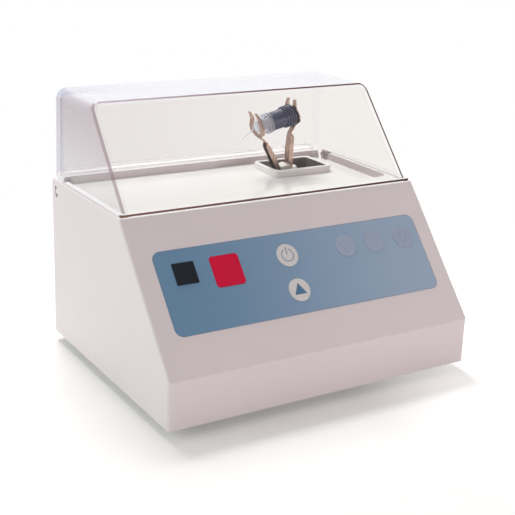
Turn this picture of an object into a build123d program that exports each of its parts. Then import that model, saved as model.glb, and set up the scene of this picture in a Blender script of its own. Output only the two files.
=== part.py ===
from build123d import *
import math
import os

# Dental amalgamator: a wedge-shaped casing, a clear hinged lid over a shallow
# deck, and a motor-driven wobble arm that shakes a capsule above the deck.
# Millimetres. +X is the operator's right, +Y the back, +Z up. The origin is the
# middle of the bounding box at the table.

# ---------------------------------------------------------------- casing sizes
casing_width = 210.0
casing_depth = 163.5
casing_height = 102.5
casing_side_draft = 0.33
front_face_height = 28.6
slope_angle = 49.1
casing_wall = 2.5
plan_corner_radius = 2.8
ridge_radius = 1.5
foot_height = 6.0

# Deck: the shallow tray under the lid, and the raised collar round the arm.
deck_depth = 4.6
deck_wall = 2.5
deck_side = 7.0
deck_ledge = 18.0
deck_corner_radius = 6.0
deck_draft = 10.0
deck_seat = 1.5
collar_shift = 0.95
collar_outer = (45.5, 31.5)
collar_inner = (39.5, 25.5)
collar_outer_radius = 4.2
collar_inner_radius = 2.6
collar_height = 4.5
collar_edge_radius = 1.0

# ------------------------------------------------------------------- lid sizes
lid_height = 56.5
lid_wall = 2.4
lid_seat_gap = 0.2
lid_top_inset = 5.0
lid_foot_inset = 3.9
lid_overhang = 6.5
lid_edge_radius = 3.8
lid_back_radius = 7.0
lid_flange_reach = 2.9
lid_flange_lead = 0.25
lid_flange_thickness = 1.6
lid_flange_corner = 4.0
lid_lip_gap = 0.5
lid_open_clearance = 0.3
reed_magnet_radius = 1.6
reed_magnet_length = 2.0
reed_magnet_rise = 5.2
sensor_size = (3.0, 4.2, 7.0)

# ----------------------------------------------------------------- hinge sizes
hinge_drop = 7.1
hinge_pin_radius = 1.7
hinge_pin_clearance = 0.05
hinge_pin_inset = 0.3
hinge_slot_height = 7.2
hinge_slot_lean = 15.0
ear_radius = 5.0
ear_thickness = 3.8
ear_gap = 0.8
pocket_wall = 2.4
pocket_front_gap = 1.5
pocket_floor_gap = 1.0
flange_stop = 8.0

# ------------------------------------------------------- wobble mechanism sizes
hub_side = 47.2
hub_back = 27.5
hub_drop = 30.5
wobble_tilt = 13.7
shaft_radius = 2.5
journal_radius = 6.0
hub_shoulder_radius = 8.6
hub_shoulder_start = -12.0
journal_end = 8.0
set_screw_inset = 2.4
set_screw_sink = 0.6
clip_thickness = 1.0
clip_groove = 0.6
clip_reach = 1.8
clip_opening = (3.0, 5.0)
bearing_outer_radius = 16.0
bearing_width = 10.0
bearing_inner_ring = 2.6
bearing_outer_ring = 2.6
ball_radius = 2.6
ball_count = 7
ball_clearance = 0.06
cage_half_width = 1.1
holder_ring_radius = 21.0
holder_ring_width = 14.0
holder_lip = 1.8
holder_edge_radius = 0.8
tang_gap = 0.05
claw_screw_rise = 3.8
shoulder_top = 28.0
shoulder_half_u = 7.5
shoulder_half_v = 6.5
block_top = 31.4
block_half_v = 4.5
torque_pin_radius = 2.0
torque_pin_end = 33.0
torque_pin_seat = 2.5
guide_size = (30.0, 15.0)
guide_foot = (34.0, 4.0)
guide_screw_y = 12.2
guide_slot_gap = 0.8
guide_slot_run = 3.0
guide_top_gap = 2.0

# Claws: pressed steel channels; the path is (along the capsule, up the arm).
claw_thickness = 0.9
claw_width = 5.5
claw_root = 21.8
claw_path = [(3.8, claw_root), (3.8, 30.0), (6.1, 40.0), (9.9, 51.0), (14.2, 55.6),
             (14.4, 64.0), (13.9, 68.5), (15.8, 74.0)]
claw_bend_radius = 2.2
claw_neck_width = 4.2
claw_fork_half = 8.8
claw_slot_fit = 0.1
claw_throat_half = 2.5
claw_tip = 73.4
claw_tip_half = 5.0
claw_shoulder = 3.0
claw_prong = 4.5
flange_low = 28.5
flange_top = 51.0
flange_depth_low = 2.4
flange_depth_mid = 2.8
flange_depth_top = 1.2
flange_end = 3.0

# Capsule, along the claws' span; its left end is the clear cap.
capsule_height = 62.9
capsule_body_radius = 6.3
capsule_bore = 4.2
capsule_body_left = -4.5
collar_left = 6.6
collar_right = 13.2
collar_radius = 7.3
collar_groove = 0.6
capsule_boss_right = 15.8
capsule_boss_chamfer = 0.8
dome_steps = 8
capsule_boss_radius = 4.6
cap_flange_left = -7.6
cap_flange_radius = 6.9
cap_ribs_left = -11.0
cap_ribs_radius = 5.9
dome_tip = -16.8
plunger_radius = 3.6
tail_tip = (-27.0, -4.6)
tail_root = (1.8, 0.5)
tail_end = (0.5, 0.25)

# ----------------------------------------------------------------- motor sizes
motor_radius = 21.0
motor_length = 60.0
motor_front = -18.3
motor_wall = 1.8
motor_boss_radius = 8.5
motor_boss_length = 4.3
motor_screw_offset = 14.5
end_cap_length = 6.0
magnet_thickness = 4.0
air_gap = 0.6
commutator_radius = 5.5
commutator_length = 8.0
armature_length = 34.8
armature_setback = 9.0
armature_slots = 5
armature_slot = (7.0, 4.0)
magnet_length = 49.2
magnet_setback = 5.4
magnet_split = 12.6
end_boss_length = 2.0
terminal_size = (0.8, 4.8)
terminal_length = 7.0
motor_edge_radius = 1.5
running_clearance = 0.06
bracket_thickness = 2.5
bracket_half_width = 22.0
bracket_foot_z = 17.0
bracket_foot_length = 62.0
mount_radius = 5.5
mount_spacing_x = 46.0
mount_spacing_y = 31.0

# ---------------------------------------------------------- operator panel sizes
panel_centre = (0.5, 49.5)
panel_side = 12.5
panel_height = 51.0
panel_corner = 5.0
panel_recess = 0.6
panel_thickness = 0.8
panel_gap = 0.2
window_inset = 43.4
window_rise = 57.75
window_size = (18.8, 19.1)
window_corner = 2.0
window_thickness = 2.0
window_ledge = 2.0
window_proud = 0.15
badge_inset = 16.85
badge_rise = 59.9
badge_size = (13.7, 13.2)
badge_thickness = 0.4
key_radius = 7.15
key_gap = 0.3
key_proud = 0.35
key_edge_radius = 0.3
key_float = 0.05
key_travel = 0.4
key_flange = 1.3
key_flange_thickness = 0.9
key_stem_radius = 2.0
key_stem_end = 6.2
middle_keys_x = -6.55
top_keys_rise = 60.8
start_key_rise = 38.4
mode_key_insets = (57.0, 35.5, 13.0)
board_depth = 10.5
board_thickness = 1.6
keypad_board_side = 9.0
keypad_board_height = 40.0
keypad_board_s = 49.5
keypad_post_side = 13.0
keypad_post_spacing = 30.0
post_radius = 3.0
tact_size = 6.0
tact_height = 3.3
display_size = 14.2
display_top = 3.0

# ----------------------------------------------------------------- base sizes
plate_thickness = 2.0
plate_rise = 0.6
plate_gap = 0.4
boss_radius = 4.0
boss_rib = 2.0
boss_inset_x = 17.0
boss_inset_y = 11.0
foot_radius = 8.0
foot_inset_x = 20.0
foot_inset_y = 24.0
foot_recess = 3.4
foot_taper = 6.0
foot_screw_gap = 0.5
screw_radius = 1.5
screw_head_radius = 2.8
screw_head_height = 1.8
screw_bite = 5.0
base_screw_bite = 9.0
thread_gap = 0.02
nut_height = 2.4
thread_end = 1.1
vent_length = 34.0
vent_width = 3.0
vent_pitch = 7.0
vent_count = 6
main_board_side = 85.0
main_board_front = 40.0
main_board_size = (130.0, 50.0)
standoff_height = 8.0
board_hole_inset = 5.0
capacitors = [(-48, 8, 6, 16), (-34, 8, 6, 16), (-48, -8, 5, 12), (48, 10, 4, 9)]
board_blocks = [(-10, 4, 18, 8, 3), (12, -6, 14, 14, 2.2), (30, 8, 16, 20, 12)]
transformer_side = 43.0
transformer_back = 82.5
core_size = (48.0, 20.0, 40.0)
core_leg = 16.0
core_window = (8.0, 24.0)
coil_overhang = 7.0
coil_gap = 0.2
core_strap = 1.5
core_foot = 8.0

# ----------------------------------------------------------------- rear sizes
rear_z = 36.0
inlet_side = 43.0
inlet_flange = (50.0, 24.0)
inlet_body = (27.2, 20.0)
inlet_cavity = (24.6, 16.6)
inlet_cavity_depth = 16.0
inlet_depth = 22.0
inlet_corner = 4.0
inlet_cavity_corner = 2.0
inlet_pin_inset = 2.0
inlet_flange_thickness = 2.5
inlet_screw_spacing = 40.0
inlet_pin = (2.0, 4.0)
inlet_pin_spread = 7.0
inlet_pin_drop = 1.0
inlet_earth_rise = 3.5
switch_side = 83.0
switch_bezel = (15.0, 21.0)
bezel_thickness = 2.0
bezel_corner = 1.0
switch_body_size = (12.8, 19.0)
switch_opening = (10.4, 16.6)
switch_depth = 16.0
switch_well = 6.0
switch_pin_seat = 0.8
rocker_size = (9.8, 14.0)
rocker_tilt = 9.0
rocker_pivot_depth = 1.4
rocker_pin_radius = 1.2
rocker_crown = 5.4
rocker_dip = 3.4
rocker_shoulder = 0.5
rocker_keel = (-2.6, 2.0)
fuse_side = 104.0
fuse_cap_radius = 7.5
fuse_flange = 2.0
fuse_cap_height = 3.0
fuse_slot = (8.0, 1.2, 1.5)
fuse_body_radius = 6.0
fuse_depth = 24.0
fit_gap = 0.15

# ------------------------------------------------------------- derived places
front_y = -(casing_depth + lid_overhang) / 2
back_y = front_y + casing_depth
lid_back_y = back_y + lid_overhang
base_z = foot_height
rim_z = base_z + casing_height
knee_z = base_z + front_face_height
deck_z = rim_z - deck_depth
deck_underside = deck_z - deck_wall
lid_low = rim_z + lid_seat_gap
lid_top = rim_z + lid_height
plate_low = base_z + plate_rise
plate_top = plate_low + plate_thickness
slope = math.radians(slope_angle)
hinge_inset_y = hinge_drop + lid_seat_gap - lid_open_clearance
pivot_y = back_y - hinge_inset_y
pivot_z = rim_z - hinge_drop
inner_back_y = back_y - casing_wall
slope_plane = Plane(
    origin=(0, front_y, knee_z), x_dir=(1, 0, 0), z_dir=(0, -math.sin(slope), math.cos(slope))
)
tilt = math.radians(wobble_tilt)
hub_x = casing_width / 2 - hub_side
hub_y = back_y - hub_back
hub_z = rim_z - hub_drop
hub_centre = (hub_x, hub_y, hub_z)
collar_x = hub_x + collar_shift
deck_half_width = casing_width / 2 - deck_side
lid_top_half_width = casing_width / 2 - lid_top_inset
lid_foot_half_width = casing_width / 2 - lid_foot_inset
panel_size = (casing_width - 2 * panel_side, panel_height)
panel_left = panel_centre[0] - panel_size[0] / 2
panel_right = panel_centre[0] + panel_size[0] / 2
window_centre = (panel_left + window_inset, window_rise)
badge_centre = (panel_left + badge_inset, badge_rise)
key_places = {"key_power": (middle_keys_x, top_keys_rise), "key_start": (middle_keys_x, start_key_rise)}
for number, inset in enumerate(mode_key_insets, 1):
    key_places["key_mode_" + str(number)] = (panel_right - inset, top_keys_rise)
keypad_board_size = (casing_width - 2 * keypad_board_side, keypad_board_height)
keypad_post_x = casing_width / 2 - keypad_post_side
main_board_centre = (casing_width / 2 - main_board_side, front_y + main_board_front)
transformer_centre = (-casing_width / 2 + transformer_side, back_y - transformer_back)
inlet_x = -casing_width / 2 + inlet_side
switch_x = -casing_width / 2 + switch_side
fuse_x = -casing_width / 2 + fuse_side
arm_axis = Vector(math.cos(tilt), 0, math.sin(tilt))
arm_up = Vector(-math.sin(tilt), 0, math.cos(tilt))
claw_slot_half = capsule_boss_radius + claw_slot_fit
claw_slot_bottom = capsule_height - claw_slot_half
hub_plane = Plane(origin=hub_centre, x_dir=(0, 1, 0), z_dir=arm_axis)
arm_side = Plane(origin=hub_centre, x_dir=arm_axis, z_dir=(0, -1, 0))
capsule_axis = Axis(Vector(*hub_centre) + arm_up * capsule_height, arm_axis)
shaft_plane = Plane(origin=hub_centre, x_dir=(0, 1, 0), z_dir=(1, 0, 0))
rear_plane = Plane(origin=(0, back_y, rear_z), x_dir=(-1, 0, 0), z_dir=(0, 1, 0))


def four(half_x, half_y, x=0.0, y=0.0):
    """The corners of a rectangle about (x, y)."""
    return [(x + sx * half_x, y + sy * half_y) for sx in (-1, 1) for sy in (-1, 1)]


def slope_y(z, depth=0.0):
    """Y of the casing's sloping front at height z, depth behind its face."""
    return front_y + (z - knee_z) / math.tan(slope) + depth / math.sin(slope)


def casing_half(z, inset=0.0):
    """Half width of the drafted casing at height z."""
    return casing_width / 2 - (z - base_z) * math.tan(math.radians(casing_side_draft)) - inset


def save(part, name):
    """Label a finished part and write it as parts/name.step."""
    part.label = name
    export_step(part, "parts/" + name + ".step")


def casing_form(inset, low, high):
    """The casing's solid wedge, moved inwards by inset on its sides."""
    knee = knee_z - inset * math.tan(slope) * (1 / math.sin(slope) - 1)
    front = front_y + inset
    back = back_y - inset
    with BuildPart() as form:
        with BuildSketch(Plane.YZ):
            Polygon((front, low), (back, low), (back, high), (slope_y(high, inset), high), (front, knee))
        extrude(amount=casing_width, both=True)
        with BuildSketch(Plane.XZ):
            Polygon(
                (-casing_half(low, inset), low), (casing_half(low, inset), low),
                (casing_half(high, inset), high), (-casing_half(high, inset), high),
            )
        extrude(amount=casing_depth, both=True, mode=Mode.INTERSECT)
        with BuildSketch(Plane.XY.offset(low)):
            with Locations((0, (front + back) / 2)):
                RectangleRounded(2 * casing_half(low, inset), back - front, plan_corner_radius - inset)
        extrude(amount=high - low, mode=Mode.INTERSECT)
    return form.part


def lid_form(inset, low):
    """The lid's solid outer shape, moved inwards by inset: soft side and rear edges, tight front ones."""
    top = lid_top - inset
    back = lid_back_y - inset
    with BuildPart() as form:
        with BuildSketch(Plane.YZ):
            Polygon((slope_y(low, inset), low), (back, low), (back, top), (slope_y(top, inset), top))
        extrude(amount=casing_width, both=True)
        with BuildSketch(Plane.XZ):
            Polygon(
                (-lid_foot_half_width + inset, low), (lid_foot_half_width - inset, low),
                (lid_top_half_width - inset, top), (-lid_top_half_width + inset, top),
            )
        extrude(amount=casing_depth, both=True, mode=Mode.INTERSECT)
        upper = form.edges().filter_by_position(Axis.Z, low + 1, top + 1)
        fillet(upper.filter_by_position(Axis.Y, slope_y(top, inset) + 1, back + 1), lid_back_radius - inset)
        upper = form.edges().filter_by_position(Axis.Z, low + 1, top + 1)
        fillet(upper.filter_by_position(Axis.Y, front_y, slope_y(top, inset) + 0.5), lid_edge_radius - inset)
    return form.part


os.makedirs("parts", exist_ok=True)
casing_middle = (front_y + back_y) / 2
boss_places = four(casing_width / 2 - boss_inset_x, casing_depth / 2 - boss_inset_y, 0, casing_middle)
foot_places = four(casing_width / 2 - foot_inset_x, casing_depth / 2 - foot_inset_y, 0, casing_middle)
inlet_screw_places = [(-inlet_x + side * inlet_screw_spacing / 2, 0) for side in (-1, 1)]

# ==================================================================== casing
# Hollow moulding: the cavity stops under the deck and follows the front ledge.
deck_front_y = slope_y(rim_z) + deck_ledge
deck_back_y = back_y - casing_wall
with BuildPart() as cavity:
    add(casing_form(casing_wall, base_z - 1, rim_z - casing_wall))
    with BuildSketch(Plane.XY.offset(deck_underside)):
        with Locations((0, (deck_front_y - deck_wall + back_y) / 2)):
            Rectangle(casing_width, back_y - deck_front_y + deck_wall)
    extrude(amount=casing_height, mode=Mode.SUBTRACT)

# Posts: four take the base screws, four carry the keypad board.
with BuildPart() as posts:
    with BuildSketch(Plane.XY.offset(plate_top)):
        with Locations(*boss_places):
            Circle(boss_radius)
            Rectangle(boss_rib, 2 * boss_inset_y)
    extrude(amount=casing_height)
    with BuildSketch(slope_plane.offset(-board_depth)):
        with Locations(*four(keypad_post_x, keypad_post_spacing / 2, 0, keypad_board_s)):
            Circle(post_radius)
    extrude(amount=board_depth - casing_wall / 2)
    add(casing_form(casing_wall / 2, base_z, deck_underside), mode=Mode.INTERSECT)

# Hinge pockets at the two rear corners.
ear_outer = casing_half(pivot_z) - casing_wall - ear_gap
ear_inner = ear_outer - ear_thickness
pocket_outer = ear_outer + ear_gap
pocket_inner = ear_inner - ear_gap
pocket_front = pivot_y - ear_radius - pocket_front_gap
pocket_floor = pivot_z - ear_radius - pocket_floor_gap

# The deck is a plate bonded in from below: it reaches under the rim at the front
# and sides, stops at the rear wall and leaves out the two hinge corners.
corner_x = pocket_inner - pocket_wall
corner_y = pocket_front - pocket_wall
plate_reach_x = deck_half_width + deck_seat
with BuildSketch() as deck_outline:
    with Locations((0, (deck_front_y - deck_seat + deck_back_y) / 2)):
        Rectangle(2 * plate_reach_x, deck_back_y - deck_front_y + deck_seat)
    for side in (-1, 1):
        with Locations((side * (corner_x + plate_reach_x + 1) / 2, (corner_y + deck_back_y + 1) / 2)):
            Rectangle(plate_reach_x + 1 - corner_x, deck_back_y + 1 - corner_y, mode=Mode.SUBTRACT)

with BuildPart() as deck_plate:
    with BuildSketch(Plane.XY.offset(deck_underside)):
        add(deck_outline.sketch)
    extrude(amount=deck_wall)
    with BuildSketch(Plane.XY.offset(deck_z)):
        with Locations((collar_x, hub_y)):
            RectangleRounded(*collar_outer, collar_outer_radius)
    extrude(amount=collar_height)
    with BuildSketch(Plane.XY.offset(deck_underside)):
        with Locations((collar_x, hub_y)):
            RectangleRounded(*collar_inner, collar_inner_radius)
    extrude(amount=deck_wall + collar_height, mode=Mode.SUBTRACT)
    fillet(deck_plate.faces().sort_by(Axis.Z)[-1].edges(), collar_edge_radius)
save(deck_plate.part, "deck_plate")

with BuildPart() as housing:
    add(casing_form(0, base_z, rim_z))
    outer_edges = housing.edges().filter_by_position(Axis.Z, knee_z - 1, rim_z + 1)
    slanted = outer_edges.filter_by(lambda e: e.bounding_box().size.Z > 20).sort_by(Axis.Y)[0:2]
    rim_edges = housing.faces().sort_by(Axis.Z)[-1].edges()
    fillet(slanted + rim_edges, ridge_radius)
    add(cavity.part, mode=Mode.SUBTRACT)
    add(posts.part)
    for side in (-1, 1):
        with BuildSketch(Plane.XY.offset(pocket_floor - pocket_wall)):
            with Locations((side * (pocket_inner - pocket_wall + casing_half(pivot_z) - 1) / 2,
                            (pocket_front - pocket_wall + back_y - 1) / 2)):
                Rectangle(casing_half(pivot_z) - 1 - pocket_inner + pocket_wall,
                          back_y - 1 - pocket_front + pocket_wall)
        extrude(amount=deck_z - 1 - pocket_floor + pocket_wall)
    with BuildSketch(Plane.XY.offset(deck_z)):
        with Locations((0, (deck_front_y + deck_back_y) / 2)):
            RectangleRounded(2 * deck_half_width, deck_back_y - deck_front_y, deck_corner_radius)
    extrude(amount=deck_depth + 1, taper=-deck_draft, mode=Mode.SUBTRACT)
    with BuildSketch(Plane.XY.offset(deck_underside)):
        add(deck_outline.sketch)
    extrude(amount=deck_wall, mode=Mode.SUBTRACT)
    for side in (-1, 1):
        with BuildSketch(Plane.XY.offset(pocket_floor)):
            with Locations((side * (pocket_inner + pocket_outer) / 2, (pocket_front + back_y + 5) / 2)):
                Rectangle(pocket_outer - pocket_inner, back_y + 5 - pocket_front)
        extrude(amount=rim_z + 1 - pocket_floor, mode=Mode.SUBTRACT)
        with BuildSketch(Plane(origin=(side * pocket_outer, pivot_y, pivot_z), x_dir=(0, 1, 0),
                               z_dir=(side, 0, 0))):
            SlotOverall(hinge_slot_height, 2 * (hinge_pin_radius + hinge_pin_clearance),
                        rotation=90 - side * hinge_slot_lean)
        extrude(amount=casing_wall + 2, mode=Mode.SUBTRACT)
    # Operator panel: shallow recess, display window seat and key holes.
    with BuildSketch(slope_plane):
        with Locations(panel_centre):
            RectangleRounded(panel_size[0] + 2 * panel_gap, panel_size[1] + 2 * panel_gap,
                             panel_corner + panel_gap)
    extrude(amount=-panel_recess, mode=Mode.SUBTRACT)
    with BuildSketch(slope_plane):
        with Locations(window_centre):
            RectangleRounded(window_size[0] + 2 * fit_gap, window_size[1] + 2 * fit_gap,
                             window_corner + fit_gap)
    extrude(amount=-(window_thickness - window_proud - (panel_thickness - panel_recess)),
            mode=Mode.SUBTRACT)
    with BuildSketch(slope_plane):
        with Locations(window_centre):
            Rectangle(window_size[0] - 2 * window_ledge, window_size[1] - 2 * window_ledge)
        with Locations(*key_places.values()):
            Circle(key_radius + key_gap)
    extrude(amount=-2 * casing_wall, mode=Mode.SUBTRACT)
    # Rear wall: mains inlet, power switch and fuse.
    with BuildSketch(rear_plane.offset(1)):
        with Locations((-inlet_x, 0)):
            Rectangle(inlet_body[0] + 2 * fit_gap, inlet_body[1] + 2 * fit_gap)
        with Locations((-switch_x, 0)):
            Rectangle(switch_body_size[0] + 2 * fit_gap, switch_body_size[1] + 2 * fit_gap)
        with Locations((-fuse_x, 0)):
            Circle(fuse_body_radius + fit_gap)
        with Locations(*inlet_screw_places):
            Circle(screw_radius + fit_gap)
    extrude(amount=-casing_wall - 2, mode=Mode.SUBTRACT)
    # Pilot holes of the base screws and keypad screws.
    with BuildSketch(Plane.XY.offset(plate_top)):
        with Locations(*boss_places):
            Circle(screw_radius)
    extrude(amount=base_screw_bite + screw_bite, mode=Mode.SUBTRACT)
    with BuildSketch(slope_plane.offset(-board_depth)):
        with Locations(*four(keypad_post_x, keypad_post_spacing / 2, 0, keypad_board_s)):
            Circle(screw_radius)
    extrude(amount=screw_bite + 1, mode=Mode.SUBTRACT)
save(housing.part, "housing")

# ============================================================ operator panel
outward = Axis(slope_plane.origin, slope_plane.z_dir)
with BuildPart() as keypad_overlay:
    with BuildSketch(slope_plane.offset(-panel_recess)):
        with Locations(panel_centre):
            RectangleRounded(*panel_size, panel_corner)
        with Locations(window_centre):
            RectangleRounded(window_size[0] + 2 * fit_gap, window_size[1] + 2 * fit_gap,
                             window_corner + fit_gap, mode=Mode.SUBTRACT)
        with Locations(*key_places.values()):
            Circle(key_radius + key_gap, mode=Mode.SUBTRACT)
    extrude(amount=panel_thickness)
    top_face = keypad_overlay.faces().sort_by(outward)[-1]
    fillet(top_face.outer_wire().edges(), panel_thickness / 3)
save(keypad_overlay.part, "keypad_overlay")

panel_proud = panel_thickness - panel_recess
with BuildPart() as display_window:
    with BuildSketch(slope_plane.offset(panel_proud + window_proud - window_thickness)):
        with Locations(window_centre):
            RectangleRounded(*window_size, window_corner)
    extrude(amount=window_thickness)
save(display_window.part, "display_window")

with BuildPart() as blank_badge:
    with BuildSketch(slope_plane.offset(panel_proud)):
        with Locations(badge_centre):
            RectangleRounded(*badge_size, badge_thickness)
    extrude(amount=badge_thickness)
save(blank_badge.part, "blank_badge")

# Keys: a disc that passes through the wall, a captive flange and a stem.
key_inner = casing_wall + key_float
for key_name, (key_x, key_s) in key_places.items():
    with BuildPart() as key:
        with BuildSketch(slope_plane.offset(panel_proud + key_proud)):
            with Locations((key_x, key_s)):
                Circle(key_radius)
        extrude(amount=-(panel_proud + key_proud + key_inner))
        fillet(key.faces().sort_by(outward)[-1].edges(), key_edge_radius)
        with BuildSketch(slope_plane.offset(-key_inner)):
            with Locations((key_x, key_s)):
                Circle(key_radius + key_flange)
        extrude(amount=-key_flange_thickness)
        with BuildSketch(slope_plane.offset(-key_inner - key_flange_thickness)):
            with Locations((key_x, key_s)):
                Circle(key_stem_radius)
        extrude(amount=-(key_stem_end - key_inner - key_flange_thickness))
    save(key.part, key_name)

with BuildPart() as keypad_board:
    with BuildSketch(slope_plane.offset(-board_depth - board_thickness)):
        with Locations((0, keypad_board_s)):
            Rectangle(*keypad_board_size)
        with Locations(*four(keypad_post_x, keypad_post_spacing / 2, 0, keypad_board_s)):
            Circle(screw_radius + fit_gap, mode=Mode.SUBTRACT)
    extrude(amount=board_thickness)
save(keypad_board.part, "keypad_board")

with BuildPart() as tact_switches:
    with BuildSketch(slope_plane.offset(-board_depth)):
        with Locations(*key_places.values()):
            Rectangle(tact_size, tact_size)
    extrude(amount=tact_height)
    with BuildSketch(slope_plane.offset(tact_height - board_depth)):
        with Locations(*key_places.values()):
            Circle(tact_size / 3)
    extrude(amount=board_depth - tact_height - key_stem_end - key_travel - key_float)
save(tact_switches.part, "tact_switches")

with BuildPart() as display_module:
    with BuildSketch(slope_plane.offset(-board_depth)):
        with Locations(window_centre):
            Rectangle(display_size, display_size)
    extrude(amount=board_depth - display_top)
save(display_module.part, "display_module")


def screws_on(plane, places, length, shank=screw_radius - thread_gap):
    """Pan-head screws: their heads stand on plane and their shanks go down from it."""
    with BuildPart() as group:
        with BuildSketch(plane):
            with Locations(*places):
                Circle(screw_head_radius)
        extrude(amount=screw_head_height)
        with BuildSketch(plane):
            with Locations(*places):
                Circle(shank)
        extrude(amount=-length)
        with BuildSketch(plane.offset(screw_head_height)):
            with Locations(*places):
                Rectangle(2 * shank, shank / 2)
                Rectangle(shank / 2, 2 * shank)
        extrude(amount=-screw_head_height / 2, mode=Mode.SUBTRACT)
    return group.part


board_back = slope_plane.from_local_coords((0, keypad_board_s, -board_depth - board_thickness))
keypad_screw_plane = Plane(origin=board_back, x_dir=(1, 0, 0), z_dir=-slope_plane.z_dir)
keypad_screws = screws_on(keypad_screw_plane, four(keypad_post_x, keypad_post_spacing / 2),
                          board_thickness + screw_bite)

# ======================================================================= lid
flange_front = slope_y(lid_low) + lid_flange_lead
flange_back = pivot_y - flange_stop
lip_front = pivot_y + hinge_inset_y + lid_open_clearance + lid_lip_gap
magnet_plane = Plane(origin=(ear_inner, pivot_y, pivot_z + reed_magnet_rise), x_dir=(0, 1, 0),
                     z_dir=(1, 0, 0))
with BuildPart() as back_lip:
    with BuildSketch(Plane.XY.offset(lid_low)):
        with Locations((0, (lip_front + lid_back_y) / 2)):
            Rectangle(2 * lid_foot_half_width, lid_back_y - lip_front)
    extrude(amount=lid_flange_thickness)
    add(lid_form(lid_wall / 2, lid_low - lid_flange_thickness), mode=Mode.INTERSECT)

with BuildPart() as lid:
    add(lid_form(0, lid_low))
    with BuildSketch(Plane.XY.offset(lid_low)):
        with Locations((0, (flange_front + flange_back) / 2)):
            Rectangle(2 * (lid_foot_half_width + lid_flange_reach), flange_back - flange_front)
    extrude(amount=lid_flange_thickness)
    corners = lid.edges().filter_by(Axis.Z).filter_by_position(Axis.Y, flange_front - 1, flange_front + 1)
    fillet(corners, lid_flange_corner)
    add(lid_form(lid_wall, lid_low - 5), mode=Mode.SUBTRACT)
    add(back_lip.part)
    for side in (-1, 1):
        with BuildSketch(Plane(origin=(side * ear_inner, pivot_y, pivot_z), x_dir=(0, side, 0),
                               z_dir=(side, 0, 0))):
            Circle(ear_radius)
            with Locations((0, (lid_low - pivot_z + lid_flange_thickness) / 2)):
                Rectangle(2 * ear_radius, lid_low - pivot_z + lid_flange_thickness)
            Circle(hinge_pin_radius, mode=Mode.SUBTRACT)
        extrude(amount=ear_thickness)
    with BuildSketch(magnet_plane):
        Circle(reed_magnet_radius)
    extrude(amount=reed_magnet_length, mode=Mode.SUBTRACT)
save(lid.part, "lid")

with BuildPart() as hinge_pins:
    for side in (-1, 1):
        with BuildSketch(Plane(origin=(side * ear_inner, pivot_y, pivot_z), x_dir=(0, side, 0),
                               z_dir=(side, 0, 0))):
            Circle(hinge_pin_radius)
        extrude(amount=casing_half(pivot_z) - hinge_pin_inset - ear_inner)
save(hinge_pins.part, "hinge_pins")

# Reed sensor on the right pocket's inner wall; it faces a magnet in the lid's ear.
with BuildPart() as lid_magnet:
    with BuildSketch(magnet_plane):
        Circle(reed_magnet_radius)
    extrude(amount=reed_magnet_length)
save(lid_magnet.part, "lid_magnet")

with BuildPart() as lid_sensor:
    with Locations((pocket_inner - pocket_wall - sensor_size[0] / 2, inner_back_y - sensor_size[1] / 2,
                    deck_underside - sensor_size[2] / 2)):
        Box(*sensor_size)
save(lid_sensor.part, "lid_sensor")

# ===================================================================== motor
motor_face = hub_x + motor_front
bore_radius = shaft_radius + running_clearance


def shaft_offset(x):
    """Plane across the motor shaft at x."""
    return shaft_plane.offset(x - hub_x)


with BuildPart() as motor_can:
    with BuildSketch(shaft_offset(motor_face)):
        Circle(motor_radius)
    extrude(amount=-motor_length)
    fillet(motor_can.faces().sort_by(Axis.X)[-1].edges(), motor_edge_radius)
    with BuildSketch(shaft_offset(motor_face)):
        Circle(motor_boss_radius)
    extrude(amount=motor_boss_length)
    with BuildSketch(shaft_offset(motor_face - 2 * motor_wall)):
        Circle(motor_radius - motor_wall)
    extrude(amount=-motor_length, mode=Mode.SUBTRACT)
    with BuildSketch(shaft_offset(motor_face + motor_boss_length)):
        Circle(bore_radius)
        with Locations((-motor_screw_offset, 0), (motor_screw_offset, 0)):
            Circle(screw_radius)
    extrude(amount=-motor_boss_length - 3 * motor_wall, mode=Mode.SUBTRACT)
save(motor_can.part, "motor_can")

with BuildPart() as motor_magnets:
    with BuildSketch(shaft_offset(motor_face - magnet_setback)):
        Circle(motor_radius - motor_wall)
        Circle(motor_radius - motor_wall - magnet_thickness, mode=Mode.SUBTRACT)
        Rectangle(2 * motor_radius, magnet_split, mode=Mode.SUBTRACT)
    extrude(amount=-magnet_length)
save(motor_magnets.part, "motor_magnets")

end_face = motor_face - motor_length
with BuildPart() as motor_end_cap:
    with BuildSketch(shaft_offset(end_face)):
        Circle(motor_radius)
    extrude(amount=-end_cap_length)
    fillet(motor_end_cap.faces().sort_by(Axis.X)[0].edges(), motor_edge_radius)
    with BuildSketch(shaft_offset(end_face)):
        Circle(motor_boss_radius)
    extrude(amount=-end_cap_length - end_boss_length)
    with BuildSketch(shaft_offset(end_face)):
        Circle(bore_radius)
    extrude(amount=-end_cap_length, mode=Mode.SUBTRACT)
save(motor_end_cap.part, "motor_end_cap")

with BuildPart() as motor_terminals:
    with BuildSketch(shaft_offset(end_face - end_cap_length)):
        with Locations((-motor_screw_offset, 0), (motor_screw_offset, 0)):
            Rectangle(*terminal_size)
    extrude(amount=-terminal_length)
save(motor_terminals.part, "motor_terminals")

armature_radius = motor_radius - motor_wall - magnet_thickness - air_gap
armature_start = motor_face - armature_setback
with BuildPart() as armature:
    with BuildSketch(shaft_offset(armature_start)):
        Circle(armature_radius)
        Circle(shaft_radius, mode=Mode.SUBTRACT)
        with PolarLocations(armature_radius - armature_slot[1] / 2, armature_slots):
            RectangleRounded(*armature_slot, armature_slot[1] / 3, mode=Mode.SUBTRACT)
    extrude(amount=-armature_length)
save(armature.part, "armature")

with BuildPart() as commutator:
    with BuildSketch(shaft_offset(armature_start - armature_length - air_gap)):
        Circle(commutator_radius)
        Circle(shaft_radius, mode=Mode.SUBTRACT)
    extrude(amount=-commutator_length)
save(commutator.part, "commutator")

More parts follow.
